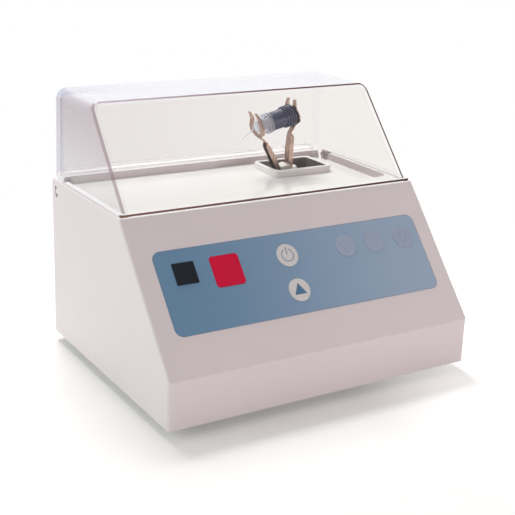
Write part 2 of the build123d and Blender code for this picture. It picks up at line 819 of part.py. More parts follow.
bracket_top = hub_z + bracket_half_width
bracket_back_x = motor_face + bracket_thickness - bracket_foot_length
mount_x = bracket_back_x + (bracket_foot_length - bracket_thickness) / 2
mount_places = four(mount_spacing_x / 2, mount_spacing_y / 2, mount_x, hub_y)
with BuildPart() as motor_bracket:
    with BuildSketch(shaft_offset(motor_face)):
        with Locations((0, (bracket_foot_z + bracket_top) / 2 - hub_z)):
            Rectangle(2 * bracket_half_width, bracket_top - bracket_foot_z)
    extrude(amount=bracket_thickness)
    top_corners = motor_bracket.edges().filter_by(Axis.X).filter_by_position(
        Axis.Z, bracket_top - 1, bracket_top + 1)
    fillet(top_corners, bracket_half_width / 2)
    with Locations(((bracket_back_x + motor_face + bracket_thickness) / 2, hub_y,
                    bracket_foot_z + bracket_thickness / 2)):
        Box(bracket_foot_length, 2 * bracket_half_width, bracket_thickness)
    with BuildSketch(shaft_offset(motor_face)):
        Circle(motor_boss_radius + fit_gap)
        with Locations((-motor_screw_offset, 0), (motor_screw_offset, 0)):
            Circle(screw_radius + fit_gap)
    extrude(amount=bracket_thickness, mode=Mode.SUBTRACT)
    with BuildSketch(Plane.XY.offset(bracket_foot_z)):
        with Locations(*mount_places):
            Circle(screw_radius + fit_gap)
    extrude(amount=bracket_thickness, mode=Mode.SUBTRACT)
save(motor_bracket.part, "motor_bracket")

motor_screw_plane = Plane(origin=(motor_face + bracket_thickness, hub_y, hub_z), x_dir=(0, 1, 0),
                          z_dir=(1, 0, 0))
motor_screws = screws_on(motor_screw_plane, [(-motor_screw_offset, 0), (motor_screw_offset, 0)],
                         bracket_thickness + 1.5 * motor_wall)
save(motor_screws, "motor_screws")

with BuildPart() as vibration_mounts:
    with BuildSketch(Plane.XY.offset(plate_top)):
        with Locations(*mount_places):
            Circle(mount_radius)
            Circle(screw_radius + fit_gap, mode=Mode.SUBTRACT)
    extrude(amount=bracket_foot_z - plate_top)
save(vibration_mounts.part, "vibration_mounts")

mount_screws = screws_on(Plane.XY.offset(bracket_foot_z + bracket_thickness), mount_places,
                         bracket_foot_z + bracket_thickness - plate_low)

# ================================================================== rotor
shaft_end = hub_x + journal_end * math.cos(tilt)
shaft_start = end_face - end_cap_length + 1
with BuildPart() as rotor_shaft:
    with BuildSketch(shaft_offset(shaft_start)):
        Circle(shaft_radius)
    extrude(amount=shaft_end - shaft_start)
save(rotor_shaft.part, "rotor_shaft")

# Crank hub: the shoulder is square to the shaft, the bearing journal is tilted.
journal_start = -bearing_width / 2
set_screw_x = hub_x + hub_shoulder_start + set_screw_inset
with BuildPart() as crank_hub:
    with BuildSketch(shaft_offset(hub_x + hub_shoulder_start)):
        Circle(hub_shoulder_radius)
    extrude(amount=-hub_shoulder_start)
    with BuildSketch(hub_plane.offset(journal_start)):
        Circle(2 * hub_shoulder_radius)
    extrude(amount=2 * hub_shoulder_radius, mode=Mode.SUBTRACT)
    with BuildSketch(hub_plane.offset(journal_start - 1)):
        Circle(journal_radius)
    extrude(amount=journal_end - journal_start + 1)
    with BuildSketch(hub_plane.offset(-journal_start)):
        Circle(journal_radius)
        Circle(journal_radius - clip_groove, mode=Mode.SUBTRACT)
    extrude(amount=clip_thickness, mode=Mode.SUBTRACT)
    with BuildSketch(shaft_offset(hub_x + hub_shoulder_start - 1)):
        Circle(shaft_radius)
    extrude(amount=2 * journal_end - hub_shoulder_start, mode=Mode.SUBTRACT)
    with BuildSketch(Plane(origin=(set_screw_x, hub_y, hub_z), x_dir=(1, 0, 0), z_dir=(0, 0, 1))):
        Circle(screw_radius)
    extrude(amount=2 * hub_shoulder_radius, mode=Mode.SUBTRACT)
save(crank_hub.part, "crank_hub")

with BuildPart() as hub_set_screw:
    with BuildSketch(Plane(origin=(set_screw_x, hub_y, hub_z + shaft_radius), x_dir=(1, 0, 0),
                           z_dir=(0, 0, 1))):
        Circle(screw_radius)
    extrude(amount=hub_shoulder_radius - shaft_radius - set_screw_sink)

with BuildPart() as bearing_clip:
    with BuildSketch(hub_plane.offset(-journal_start)):
        Circle(journal_radius + clip_reach)
        Circle(journal_radius - clip_groove, mode=Mode.SUBTRACT)
        with Locations((0, -journal_radius)):
            Rectangle(*clip_opening, mode=Mode.SUBTRACT)
    extrude(amount=clip_thickness)
save(Compound(children=[hub_set_screw.part, bearing_clip.part]), "hub_fasteners")

# ================================================================== bearing
inner_race = journal_radius + bearing_inner_ring
outer_race = bearing_outer_radius - bearing_outer_ring
ball_path = (inner_race + outer_race) / 2
groove_radius = ball_radius + ball_clearance


def race(inner, outer):
    """A bearing ring between two radii, with the ball groove cut in it."""
    with BuildPart() as ring:
        with BuildSketch(hub_plane.offset(-bearing_width / 2)):
            Circle(outer)
            Circle(inner, mode=Mode.SUBTRACT)
        extrude(amount=bearing_width)
        with BuildSketch(arm_side):
            with Locations((0, ball_path)):
                Circle(groove_radius)
        revolve(axis=Axis(hub_centre, arm_axis), mode=Mode.SUBTRACT)
    return ring.part


save(race(journal_radius, inner_race), "bearing_inner_race")
save(race(outer_race, bearing_outer_radius), "bearing_outer_race")

with BuildPart() as bearing_balls:
    with Locations(hub_plane):
        with PolarLocations(ball_path, ball_count):
            Sphere(ball_radius)
save(bearing_balls.part, "bearing_balls")

with BuildPart() as bearing_cage:
    with BuildSketch(hub_plane.offset(-bearing_width / 4)):
        Circle(ball_path + cage_half_width)
        Circle(ball_path - cage_half_width, mode=Mode.SUBTRACT)
    extrude(amount=bearing_width / 2)
    with Locations(hub_plane):
        with PolarLocations(ball_path, ball_count):
            Sphere(groove_radius, mode=Mode.SUBTRACT)
save(bearing_cage.part, "bearing_cage")

# =================================================================== holder
# The ring takes the bearing; the shoulder and block above it carry the claws.
block_half_u = claw_path[0][0] - claw_thickness / 2
claw_screw_w = holder_ring_radius + claw_screw_rise
with BuildPart() as holder:
    with BuildSketch(hub_plane.offset(-holder_ring_width / 2)):
        Circle(holder_ring_radius)
    extrude(amount=holder_ring_width)
    with BuildSketch(arm_side):
        with Locations((0, shoulder_top / 2)):
            Rectangle(2 * shoulder_half_u, shoulder_top)
    extrude(amount=shoulder_half_v, both=True)
    with BuildSketch(arm_side):
        with Locations((0, block_top / 2)):
            Rectangle(2 * block_half_u, block_top)
    extrude(amount=block_half_v, both=True)
    top_edges = holder.faces().sort_by(Axis(hub_centre, arm_up))[-1].edges()
    fillet(top_edges, holder_edge_radius)
    with BuildSketch(hub_plane.offset(-shoulder_half_u - 1)):
        Circle(bearing_outer_radius)
    extrude(amount=shoulder_half_u + 1 + bearing_width / 2, mode=Mode.SUBTRACT)
    with BuildSketch(hub_plane.offset(bearing_width / 2 - 1)):
        Circle(bearing_outer_radius - holder_lip)
    extrude(amount=shoulder_half_u, mode=Mode.SUBTRACT)
    for side in (-1, 1):
        with BuildSketch(arm_side):
            with Locations((side * claw_path[0][0], (claw_root - tang_gap + shoulder_top + 1) / 2)):
                Rectangle(claw_thickness + tang_gap, shoulder_top + 1 - claw_root + tang_gap)
        extrude(amount=claw_width / 2 + tang_gap, both=True, mode=Mode.SUBTRACT)
    with BuildSketch(hub_plane.offset(-shoulder_half_u - 1)):
        with Locations((0, claw_screw_w)):
            Circle(screw_radius)
    extrude(amount=2 * shoulder_half_u + 2, mode=Mode.SUBTRACT)
    with BuildSketch(Plane(origin=Vector(*hub_centre) - arm_up * torque_pin_end, x_dir=arm_axis,
                           z_dir=arm_up)):
        Circle(torque_pin_radius)
    extrude(amount=torque_pin_end - holder_ring_radius + torque_pin_seat, mode=Mode.SUBTRACT)
save(holder.part, "holder")

with BuildPart() as torque_pin:
    with BuildSketch(Plane(origin=Vector(*hub_centre) - arm_up * torque_pin_end, x_dir=arm_axis,
                           z_dir=arm_up)):
        Circle(torque_pin_radius)
    extrude(amount=torque_pin_end - holder_ring_radius + torque_pin_seat)
save(torque_pin.part, "torque_pin")


def claw(side):
    """A claw arm: bent strip with a forked head, and two stiffening flanges."""
    path_points = [(side * u, w) for u, w in claw_path]
    flange_points = [
        (claw_path[0][0], flange_low), claw_path[1], claw_path[2], (claw_path[3][0], flange_top),
        (claw_path[3][0] + flange_depth_top, flange_top - flange_end),
        (claw_path[2][0] + flange_depth_mid, claw_path[2][1] - 1),
        (claw_path[0][0] + flange_depth_low, flange_low),
    ]
    outline = [
        (claw_width / 2, claw_root - 1), (claw_width / 2, flange_top - claw_shoulder),
        (claw_neck_width / 2, flange_top + 1), (claw_neck_width / 2, claw_slot_bottom - claw_shoulder),
        (claw_fork_half, claw_slot_bottom + 1), (claw_fork_half, claw_slot_bottom + claw_prong),
        (claw_tip_half, claw_tip),
    ]
    with BuildPart() as arm:
        with BuildLine(arm_side) as path:
            FilletPolyline(*path_points, radius=claw_bend_radius)
        with BuildSketch(Plane(origin=path.line @ 0, x_dir=arm_axis, z_dir=path.line % 0)):
            Rectangle(claw_thickness, 2 * claw_fork_half)
        sweep(path=path.line)
        with BuildSketch(hub_plane):
            Polygon(*[(-v, w) for v, w in outline], *reversed(outline))
            with Locations((0, capsule_height)):
                Circle(claw_slot_half, mode=Mode.SUBTRACT)
            with Locations((0, capsule_height + claw_tip / 2)):
                Rectangle(2 * claw_throat_half, claw_tip, mode=Mode.SUBTRACT)
            with Locations((0, claw_screw_w)):
                Circle(screw_radius, mode=Mode.SUBTRACT)
        extrude(amount=3 * holder_ring_radius, both=True, mode=Mode.INTERSECT)
        for edge in (-1, 1):
            with BuildSketch(arm_side.offset(edge * (claw_width - claw_thickness) / 2)):
                Polygon([(side * u, w) for u, w in flange_points])
            extrude(amount=claw_thickness / 2, both=True)
    return arm.part


save(claw(-1), "claw_left")
save(claw(1), "claw_right")

claw_screw_plane = Plane(origin=Vector(*hub_centre) + arm_up * claw_screw_w - arm_axis * shoulder_half_u,
                         x_dir=(0, -1, 0), z_dir=-arm_axis)
claw_screw = screws_on(claw_screw_plane, [(0, 0)], 2 * shoulder_half_u + nut_height, screw_radius)

with BuildPart() as claw_nut:
    with BuildSketch(hub_plane.offset(shoulder_half_u)):
        with Locations((0, claw_screw_w)):
            RegularPolygon(screw_head_radius, 6)
            Circle(screw_radius, mode=Mode.SUBTRACT)
    extrude(amount=nut_height)
save(Compound(children=[claw_screw, claw_nut.part]), "claw_fasteners")


# ================================================================== capsule
def turned(*points):
    """A solid of revolution about the capsule's axis from (along, radius) points."""
    with BuildPart() as piece:
        with BuildSketch(arm_side):
            Polygon([(u, capsule_height + r) for u, r in points])
        revolve(axis=capsule_axis)
    return piece.part


def ribs(first, last, count, radius, depth):
    """Points of a ribbed outline from first to last, count ribs of equal width."""
    pitch = (last - first) / (2 * count - 1)
    points = []
    for i in range(count):
        start = first + 2 * i * pitch
        points += [(start, radius), (start + pitch, radius)]
        if i < count - 1:
            points += [(start + pitch, radius - depth), (start + 2 * pitch, radius - depth)]
    return points


capsule_body = turned(
    (capsule_body_left, capsule_bore), (capsule_body_left, capsule_body_radius),
    (collar_left, capsule_body_radius),
    *ribs(collar_left, collar_right, 4, collar_radius, collar_groove),
    (collar_right, capsule_boss_radius), (capsule_boss_right - capsule_boss_chamfer, capsule_boss_radius),
    (capsule_boss_right, capsule_boss_radius - capsule_boss_chamfer), (capsule_boss_right, 0),
    (collar_left, 0), (collar_left, capsule_bore),
)
save(capsule_body, "capsule_body")

dome_length = cap_ribs_left - dome_tip
dome_points = [
    (cap_ribs_left - dome_length * math.sin(i * math.pi / 2 / dome_steps),
     capsule_boss_radius * math.cos(i * math.pi / 2 / dome_steps))
    for i in range(1, dome_steps)
]
with BuildPart() as capsule_cap:
    add(turned(
        (dome_tip, 0), *reversed(dome_points), (cap_ribs_left, capsule_boss_radius),
        *ribs(cap_ribs_left, cap_flange_left, 2, cap_ribs_radius, collar_groove),
        *ribs(cap_flange_left, capsule_body_left, 2, cap_flange_radius, 1.2),
        (capsule_body_left, plunger_radius), (cap_ribs_left, plunger_radius), (cap_ribs_left - 1, 0),
    ))
    with BuildLine(arm_side) as tail_path:
        Line((dome_tip + 1, capsule_height), (tail_tip[0], capsule_height + tail_tip[1]))
    with BuildSketch(Plane(origin=tail_path.line @ 0, x_dir=(0, 1, 0), z_dir=tail_path.line % 0)):
        Rectangle(*tail_root)
    with BuildSketch(Plane(origin=tail_path.line @ 1, x_dir=(0, 1, 0), z_dir=tail_path.line % 1)):
        Rectangle(*tail_end)
    loft()
save(capsule_cap.part, "capsule_cap")

capsule_plunger = turned(
    (cap_ribs_left + 0.4, 0), (cap_ribs_left + 0.4, plunger_radius - fit_gap),
    (capsule_body_left + 2, plunger_radius - fit_gap), (capsule_body_left + 2, 0),
)
save(capsule_plunger, "capsule_plunger")

# ===================================================================== base
plate_half_x = casing_half(plate_low) - casing_wall - plate_gap
plate_front = front_y + casing_wall + plate_gap
plate_back = back_y - casing_wall - plate_gap
with BuildPart() as base_plate:
    with BuildSketch(Plane.XY.offset(plate_low)):
        with Locations((0, (plate_front + plate_back) / 2)):
            RectangleRounded(2 * plate_half_x, plate_back - plate_front,
                             plan_corner_radius - casing_wall)
        with Locations(*boss_places, *foot_places):
            Circle(screw_radius + fit_gap, mode=Mode.SUBTRACT)
        with Locations(*mount_places):
            Circle(screw_radius, mode=Mode.SUBTRACT)
        with Locations((mount_x, hub_y)):
            with GridLocations(vent_pitch, 1, vent_count, 1):
                SlotOverall(vent_length, vent_width, rotation=90, mode=Mode.SUBTRACT)
    extrude(amount=plate_thickness)
save(base_plate.part, "base_plate")

base_screw_plane = Plane(origin=(0, 0, plate_low), x_dir=(-1, 0, 0), z_dir=(0, 0, -1))
save(
    screws_on(base_screw_plane, [(-x, y) for x, y in boss_places], plate_thickness + base_screw_bite),
    "base_screws",
)

with BuildPart() as rubber_feet:
    with BuildSketch(Plane.XY.offset(plate_low)):
        with Locations(*foot_places):
            Circle(foot_radius)
    extrude(amount=-plate_low, taper=foot_taper)
    with BuildSketch(Plane.XY):
        with Locations(*foot_places):
            Circle(screw_head_radius + foot_screw_gap)
    extrude(amount=foot_recess, mode=Mode.SUBTRACT)
    with BuildSketch(Plane.XY):
        with Locations(*foot_places):
            Circle(screw_radius + fit_gap)
    extrude(amount=plate_low, mode=Mode.SUBTRACT)
save(rubber_feet.part, "rubber_feet")

foot_screw_plane = Plane(origin=(0, 0, foot_recess), x_dir=(-1, 0, 0), z_dir=(0, 0, -1))
foot_screws = screws_on(foot_screw_plane, [(-x, y) for x, y in foot_places],
                        plate_top + nut_height + thread_end - foot_recess)

with BuildPart() as foot_nuts:
    with BuildSketch(Plane.XY.offset(plate_top)):
        with Locations(*foot_places):
            RegularPolygon(screw_head_radius, 6)
            Circle(screw_radius, mode=Mode.SUBTRACT)
    extrude(amount=nut_height)
save(Compound(children=[foot_screws, foot_nuts.part]), "foot_fasteners")

# Guide of the torque pin: a slotted block under the holder ring.
ring_low = hub_z - holder_ring_radius * math.cos(tilt) - holder_ring_width / 2 * math.sin(tilt)
guide_top = ring_low - guide_top_gap
guide_slot_low = hub_z - torque_pin_end - guide_slot_run
guide_slot_half = torque_pin_radius + guide_slot_gap
guide_screw_places = [(hub_x, hub_y - guide_screw_y), (hub_x, hub_y + guide_screw_y)]
with BuildPart() as torque_guide:
    with Locations((hub_x, hub_y, (plate_top + guide_top) / 2)):
        Box(*guide_size, guide_top - plate_top)
    with Locations((hub_x, hub_y, plate_top + guide_foot[1] / 2)):
        Box(guide_size[0], *guide_foot)
    with Locations((hub_x, hub_y, (guide_slot_low + guide_top + 1) / 2)):
        Box(guide_size[0] + 1, 2 * guide_slot_half, guide_top + 1 - guide_slot_low, mode=Mode.SUBTRACT)
    with BuildSketch(Plane.XY.offset(plate_top)):
        with Locations(*guide_screw_places):
            Circle(screw_radius)
    extrude(amount=guide_foot[1], mode=Mode.SUBTRACT)
save(torque_guide.part, "torque_guide")

guide_screws = screws_on(Plane.XY.offset(plate_top + guide_foot[1]), guide_screw_places, guide_foot[1],
                         screw_radius)
save(Compound(children=[mount_screws, guide_screws]), "mount_screws")

# ============================================================== electronics
board_low = plate_top + standoff_height
board_holes = four(main_board_size[0] / 2 - board_hole_inset, main_board_size[1] / 2 - board_hole_inset,
                   *main_board_centre)
with BuildPart() as main_board:
    with BuildSketch(Plane.XY.offset(board_low)):
        with Locations(main_board_centre):
            Rectangle(*main_board_size)
        with Locations(*board_holes):
            Circle(screw_radius + fit_gap, mode=Mode.SUBTRACT)
    extrude(amount=board_thickness)
save(main_board.part, "main_board")

with BuildPart() as board_standoffs:
    with BuildSketch(Plane.XY.offset(plate_top)):
        with Locations(*board_holes):
            RegularPolygon(post_radius, 6)
            Circle(screw_radius, mode=Mode.SUBTRACT)
    extrude(amount=standoff_height)
save(board_standoffs.part, "board_standoffs")

main_board_screws = screws_on(Plane.XY.offset(board_low + board_thickness), board_holes,
                              board_thickness + screw_bite)
save(Compound(children=[keypad_screws, main_board_screws]), "board_screws")

board_top = board_low + board_thickness
with BuildPart() as board_components:
    for dx, dy, radius, height in capacitors:
        with Locations((main_board_centre[0] + dx, main_board_centre[1] + dy, board_top + height / 2)):
            Cylinder(radius, height)
    for dx, dy, length, width, height in board_blocks:
        with Locations((main_board_centre[0] + dx, main_board_centre[1] + dy, board_top + height / 2)):
            Box(length, width, height)
save(board_components.part, "board_components")

core_z = plate_top + core_size[2] / 2
transformer_plane = Plane(origin=(*transformer_centre, core_z), x_dir=(1, 0, 0), z_dir=(0, -1, 0))
window_shift = (core_leg + core_window[0]) / 2
with BuildPart() as transformer_core:
    with BuildSketch(transformer_plane):
        Rectangle(core_size[0], core_size[2])
        with Locations((-window_shift, 0), (window_shift, 0)):
            Rectangle(*core_window, mode=Mode.SUBTRACT)
    extrude(amount=core_size[1] / 2, both=True)
    with BuildSketch(transformer_plane):
        for side in (-1, 1):
            with Locations((side * (core_size[0] + core_strap) / 2, -core_size[2] / 4)):
                Rectangle(core_strap, core_size[2] / 2)
            with Locations((side * (core_size[0] + core_foot) / 2, (core_strap - core_size[2]) / 2)):
                Rectangle(core_foot, core_strap)
    extrude(amount=core_size[1] / 2, both=True)
save(transformer_core.part, "transformer_core")

coil_width = core_leg + 2 * core_window[0] - 2 * coil_gap
with BuildPart() as transformer_coil:
    with BuildSketch(Plane.XY.offset(core_z)):
        with Locations(transformer_centre):
            RectangleRounded(coil_width, core_size[1] + 2 * coil_overhang, coil_overhang / 2)
            Rectangle(core_leg + 2 * coil_gap, core_size[1] + 2 * coil_gap, mode=Mode.SUBTRACT)
    extrude(amount=core_window[1] / 2 - coil_gap, both=True)
save(transformer_coil.part, "transformer_coil")

# ================================================================ rear fittings
with BuildPart() as mains_inlet:
    with BuildSketch(rear_plane):
        with Locations((-inlet_x, 0)):
            RectangleRounded(*inlet_flange, inlet_corner)
        with Locations(*inlet_screw_places):
            Circle(screw_radius + fit_gap, mode=Mode.SUBTRACT)
    extrude(amount=inlet_flange_thickness)
    with BuildSketch(rear_plane):
        with Locations((-inlet_x, 0)):
            Rectangle(*inlet_body)
    extrude(amount=-inlet_depth)
    with BuildSketch(rear_plane.offset(inlet_flange_thickness)):
        with Locations((-inlet_x, 0)):
            RectangleRounded(*inlet_cavity, inlet_cavity_corner)
    extrude(amount=-inlet_cavity_depth, mode=Mode.SUBTRACT)
save(mains_inlet.part, "mains_inlet")

inlet_floor = inlet_flange_thickness - inlet_cavity_depth
with BuildPart() as inlet_pins:
    with BuildSketch(rear_plane.offset(inlet_floor)):
        with Locations((-inlet_x - inlet_pin_spread, -inlet_pin_drop),
                       (-inlet_x + inlet_pin_spread, -inlet_pin_drop),
                       (-inlet_x, inlet_earth_rise)):
            Rectangle(*inlet_pin)
    extrude(amount=inlet_cavity_depth - inlet_pin_inset)
save(inlet_pins.part, "inlet_pins")

save(
    screws_on(rear_plane.offset(inlet_flange_thickness), inlet_screw_places,
              inlet_flange_thickness + casing_wall + nut_height, screw_radius),
    "inlet_screws",
)

with BuildPart() as power_switch_body:
    with BuildSketch(rear_plane):
        with Locations((-switch_x, 0)):
            RectangleRounded(*switch_bezel, bezel_corner)
    extrude(amount=bezel_thickness)
    with BuildSketch(rear_plane):
        with Locations((-switch_x, 0)):
            Rectangle(*switch_body_size)
    extrude(amount=-switch_depth)
    with BuildSketch(rear_plane.offset(bezel_thickness)):
        with Locations((-switch_x, 0)):
            Rectangle(*switch_opening)
    extrude(amount=-bezel_thickness - switch_well, mode=Mode.SUBTRACT)
    with BuildSketch(Plane(origin=(switch_x, back_y - rocker_pivot_depth, rear_z), x_dir=(0, 1, 0),
                           z_dir=(1, 0, 0))):
        Circle(rocker_pin_radius + running_clearance)
    extrude(amount=switch_opening[0] / 2 + switch_pin_seat, both=True, mode=Mode.SUBTRACT)
save(power_switch_body.part, "power_switch_body")

rocker_lean = math.radians(rocker_tilt)
rocker_half = rocker_size[1] / 2
rocker_plane = Plane(origin=(switch_x, back_y - rocker_pivot_depth, rear_z),
                     x_dir=(0, math.cos(rocker_lean), math.sin(rocker_lean)), z_dir=(1, 0, 0))
with BuildPart() as power_rocker:
    with BuildSketch(rocker_plane):
        Polygon(
            (rocker_crown, -rocker_half), (rocker_dip, 0), (rocker_crown, rocker_half),
            (rocker_shoulder, rocker_half), rocker_keel, (rocker_keel[0], -rocker_keel[1]),
            (rocker_shoulder, -rocker_half),
        )
    extrude(amount=rocker_size[0] / 2, both=True)
    with BuildSketch(rocker_plane):
        Circle(rocker_pin_radius)
    extrude(amount=switch_opening[0] / 2 + switch_pin_seat - thread_gap, both=True)
save(power_rocker.part, "power_rocker")

with BuildPart() as fuse_holder:
    with BuildSketch(rear_plane):
        with Locations((-fuse_x, 0)):
            Circle(fuse_cap_radius)
    extrude(amount=fuse_flange)
    with BuildSketch(rear_plane):
        with Locations((-fuse_x, 0)):
            Circle(fuse_body_radius)
    extrude(amount=-fuse_depth)
save(fuse_holder.part, "fuse_holder")

with BuildPart() as fuse_cap:
    with BuildSketch(rear_plane.offset(fuse_flange)):
        with Locations((-fuse_x, 0)):
            Circle(fuse_body_radius)
    extrude(amount=fuse_cap_height)
    with BuildSketch(rear_plane.offset(fuse_flange + fuse_cap_height)):
        with Locations((-fuse_x, 0)):
            Rectangle(fuse_slot[0], fuse_slot[1])
    extrude(amount=-fuse_slot[2], mode=Mode.SUBTRACT)
save(fuse_cap.part, "fuse_cap")
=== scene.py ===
import math

import bmesh
import bpy
from mathutils import Matrix, Vector


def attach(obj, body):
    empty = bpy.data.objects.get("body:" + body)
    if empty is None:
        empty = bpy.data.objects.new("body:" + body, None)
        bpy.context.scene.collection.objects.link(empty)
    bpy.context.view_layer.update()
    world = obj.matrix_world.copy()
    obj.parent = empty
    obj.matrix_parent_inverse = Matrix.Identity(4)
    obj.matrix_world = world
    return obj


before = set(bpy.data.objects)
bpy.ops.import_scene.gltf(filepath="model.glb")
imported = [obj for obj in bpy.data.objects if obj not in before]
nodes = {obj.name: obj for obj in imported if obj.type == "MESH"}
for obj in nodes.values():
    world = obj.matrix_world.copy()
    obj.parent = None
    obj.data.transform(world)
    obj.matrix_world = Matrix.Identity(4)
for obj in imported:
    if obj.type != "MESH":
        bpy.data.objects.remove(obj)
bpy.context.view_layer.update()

# ------------------------------------------------------------------ places
UP = Vector((0, 0, 1))
SLOPE = math.radians(49.1)
CASING_FRONT = -0.085
KNEE = 0.0346
RIM = 0.1085
DECK = 0.1039
DECK_FRONT = -0.0015
LID_LOW = 0.1087
LID_TOP = 0.165
LID_FOOT_HALF = 0.1011
LID_TOP_HALF = 0.1000
LID_MIDDLE = Vector((0.0, 0.035, 0.12))
FLANGE = 0.0016
SLOPE_NORMAL = Vector((0, -math.sin(SLOPE), math.cos(SLOPE)))
SLOPE_UP = Vector((0, math.cos(SLOPE), math.sin(SLOPE)))
SLOPE_FOOT = Vector((0, CASING_FRONT, KNEE))
FRONT_FACE = SLOPE_NORMAL.dot(SLOPE_FOOT)
TRAY_HALF = 0.1015
TRAY_BACK = 0.0770
WELL_CENTRE = (0.05875, 0.0510)
WELL_HALF = (0.0199, 0.0129)
COLLAR_HALF = (0.0230, 0.0160)
PRINT_LIFT = 0.00006
PANEL_TOP = 0.00015


# ------------------------------------------------------------- node helpers
class Graph:
    """A node tree under construction, with short calls for the usual nodes."""

    def __init__(self, tree):
        self.tree = tree
        self.coords = self.node("TexCoord")

    def node(self, kind, **settings):
        made = self.tree.nodes.new("ShaderNode" + kind)
        for key, value in settings.items():
            setattr(made, key, value)
        return made

    def link(self, source, target):
        self.tree.links.new(source, target)

    def put(self, target, value):
        """Sets a socket to a number or colour, or links it to another socket."""
        if isinstance(value, bpy.types.NodeSocket):
            self.link(value, target)
        elif isinstance(value, tuple) and len(value) == 3 and target.type == "RGBA":
            target.default_value = (*value, 1.0)
        else:
            target.default_value = value

    def math(self, operation, a, b=0.0):
        made = self.node("Math", operation=operation)
        self.put(made.inputs[0], a)
        self.put(made.inputs[1], b)
        return made.outputs[0]

    def times(self, first, *others):
        """The product of all the values."""
        for other in others:
            first = self.math("MULTIPLY", first, other)
        return first

    def most(self, first, *others):
        """The largest of the values."""
        for other in others:
            first = self.math("MAXIMUM", first, other)
        return first

    def inverse(self, value):
        """1 where the mask is 0, and 0 where it is 1."""
        return self.math("SUBTRACT", 1.0, value)

    def span(self, value, low, high, to_low=0.0, to_high=1.0):
        """Maps low..high smoothly to to_low..to_high, held beyond the ends."""
        made = self.node("MapRange", interpolation_type="SMOOTHSTEP")
        self.put(made.inputs["Value"], value)
        made.inputs["From Min"].default_value = low
        made.inputs["From Max"].default_value = high
        made.inputs["To Min"].default_value = to_low
        made.inputs["To Max"].default_value = to_high
        return made.outputs["Result"]

    def fade(self, value, low, high):
        """1 up to low, and from there down to 0 at high."""
        return self.span(value, low, high, 1.0, 0.0)

    def place(self, output="Object"):
        """The X, Y and Z of the point in the piece's own frame."""
        split = self.node("SeparateXYZ")
        self.link(self.coords.outputs[output], split.inputs[0])
        return tuple(split.outputs)

    def along(self, output, direction):
        """How far the point ("Object") or the surface normal ("Normal") goes along a direction."""
        dot = self.node("VectorMath", operation="DOT_PRODUCT")
        self.link(self.coords.outputs[output], dot.inputs[0])
        self.put(dot.inputs[1], direction)
        return dot.outputs["Value"]

    def facing(self, direction):
        """1 where the surface lies square to the direction, on either side."""
        return self.math("ABSOLUTE", self.along("Normal", direction))

    def noise(self, scale, detail=3.0, roughness=0.5, stretch=None):
        made = self.node("TexNoise")
        made.inputs["Scale"].default_value = scale
        made.inputs["Detail"].default_value = detail
        made.inputs["Roughness"].default_value = roughness
        source = self.coords.outputs["Object"]
        if stretch:
            mapping = self.node("Mapping")
            mapping.inputs["Scale"].default_value = stretch
            self.link(source, mapping.inputs["Vector"])
            source = mapping.outputs["Vector"]
        self.link(source, made.inputs["Vector"])
        return made.outputs["Fac"]

    def mix(self, factor, a, b):
        """Colour a where the factor is 0 and colour b where it is 1."""
        made = self.node("Mix", data_type="RGBA")
        self.put(made.inputs["Factor"], factor)
        self.put(made.inputs["A"], a)
        self.put(made.inputs["B"], b)
        return made.outputs["Result"]

    def blend(self, factor, a, b):
        """Shader a where the factor is 0 and shader b where it is 1."""
        made = self.node("MixShader")
        self.put(made.inputs["Fac"], factor)
        self.link(a, made.inputs[1])
        self.link(b, made.inputs[2])
        return made.outputs[0]

    def glow(self, colour, strength):
        made = self.node("Emission")
        self.put(made.inputs["Color"], colour)
        self.put(made.inputs["Strength"], strength)
        return made.outputs[0]


class Shader(Graph):
    """A material under construction, around its principled shader."""

    def __init__(self, name):
        self.material = bpy.data.materials.new(name)
        self.material.use_nodes = True
        super().__init__(self.material.node_tree)
        self.bsdf = self.tree.nodes["Principled BSDF"]
        self.output = self.tree.nodes["Material Output"].inputs["Surface"]

    def surface(self, **values):
        """Sets inputs of the principled shader, such as base_color or roughness."""
        for key, value in values.items():
            self.put(self.bsdf.inputs[key.replace("_", " ").title().replace("Ior", "IOR")], value)

    def bump(self, height, strength, distance):
        made = self.node("Bump")
        made.inputs["Strength"].default_value = strength
        made.inputs["Distance"].default_value = distance
        self.put(made.inputs["Height"], height)
        self.link(made.outputs["Normal"], self.bsdf.inputs["Normal"])

    def see_through(self, colour, solid):
        """Lets light pass in this colour where the surface isn't solid."""
        clear = self.node("BsdfTransparent")
        self.put(clear.inputs["Color"], colour)
        self.link(self.blend(solid, clear.outputs[0], self.bsdf.outputs[0]), self.output)


def shade(colour, amount):
    """The colour made lighter (above 1) or darker (below 1)."""
    return tuple(min(1.0, c * amount) for c in colour)


def plastic(name, colour, roughness, grain=900.0, grain_depth=0.00002, variation=0.04, coat=0.0,
            gleam=0.5):
    """Moulded plastic: slight mottling, a fine spark texture and uneven gloss."""
    s = Shader(name)
    mottle = s.noise(28.0, 4.0)
    tone = s.mix(s.span(mottle, 0.3, 0.7), shade(colour, 1 - variation), shade(colour, 1 + variation))
    s.surface(base_color=tone, coat_weight=coat, coat_roughness=0.08, specular_ior_level=gleam)
    s.surface(roughness=s.span(s.noise(60.0, 3.0), 0.3, 0.7, roughness * 0.88, roughness * 1.12))
    s.bump(s.noise(grain, 2.0), 0.25, grain_depth)
    return s.material


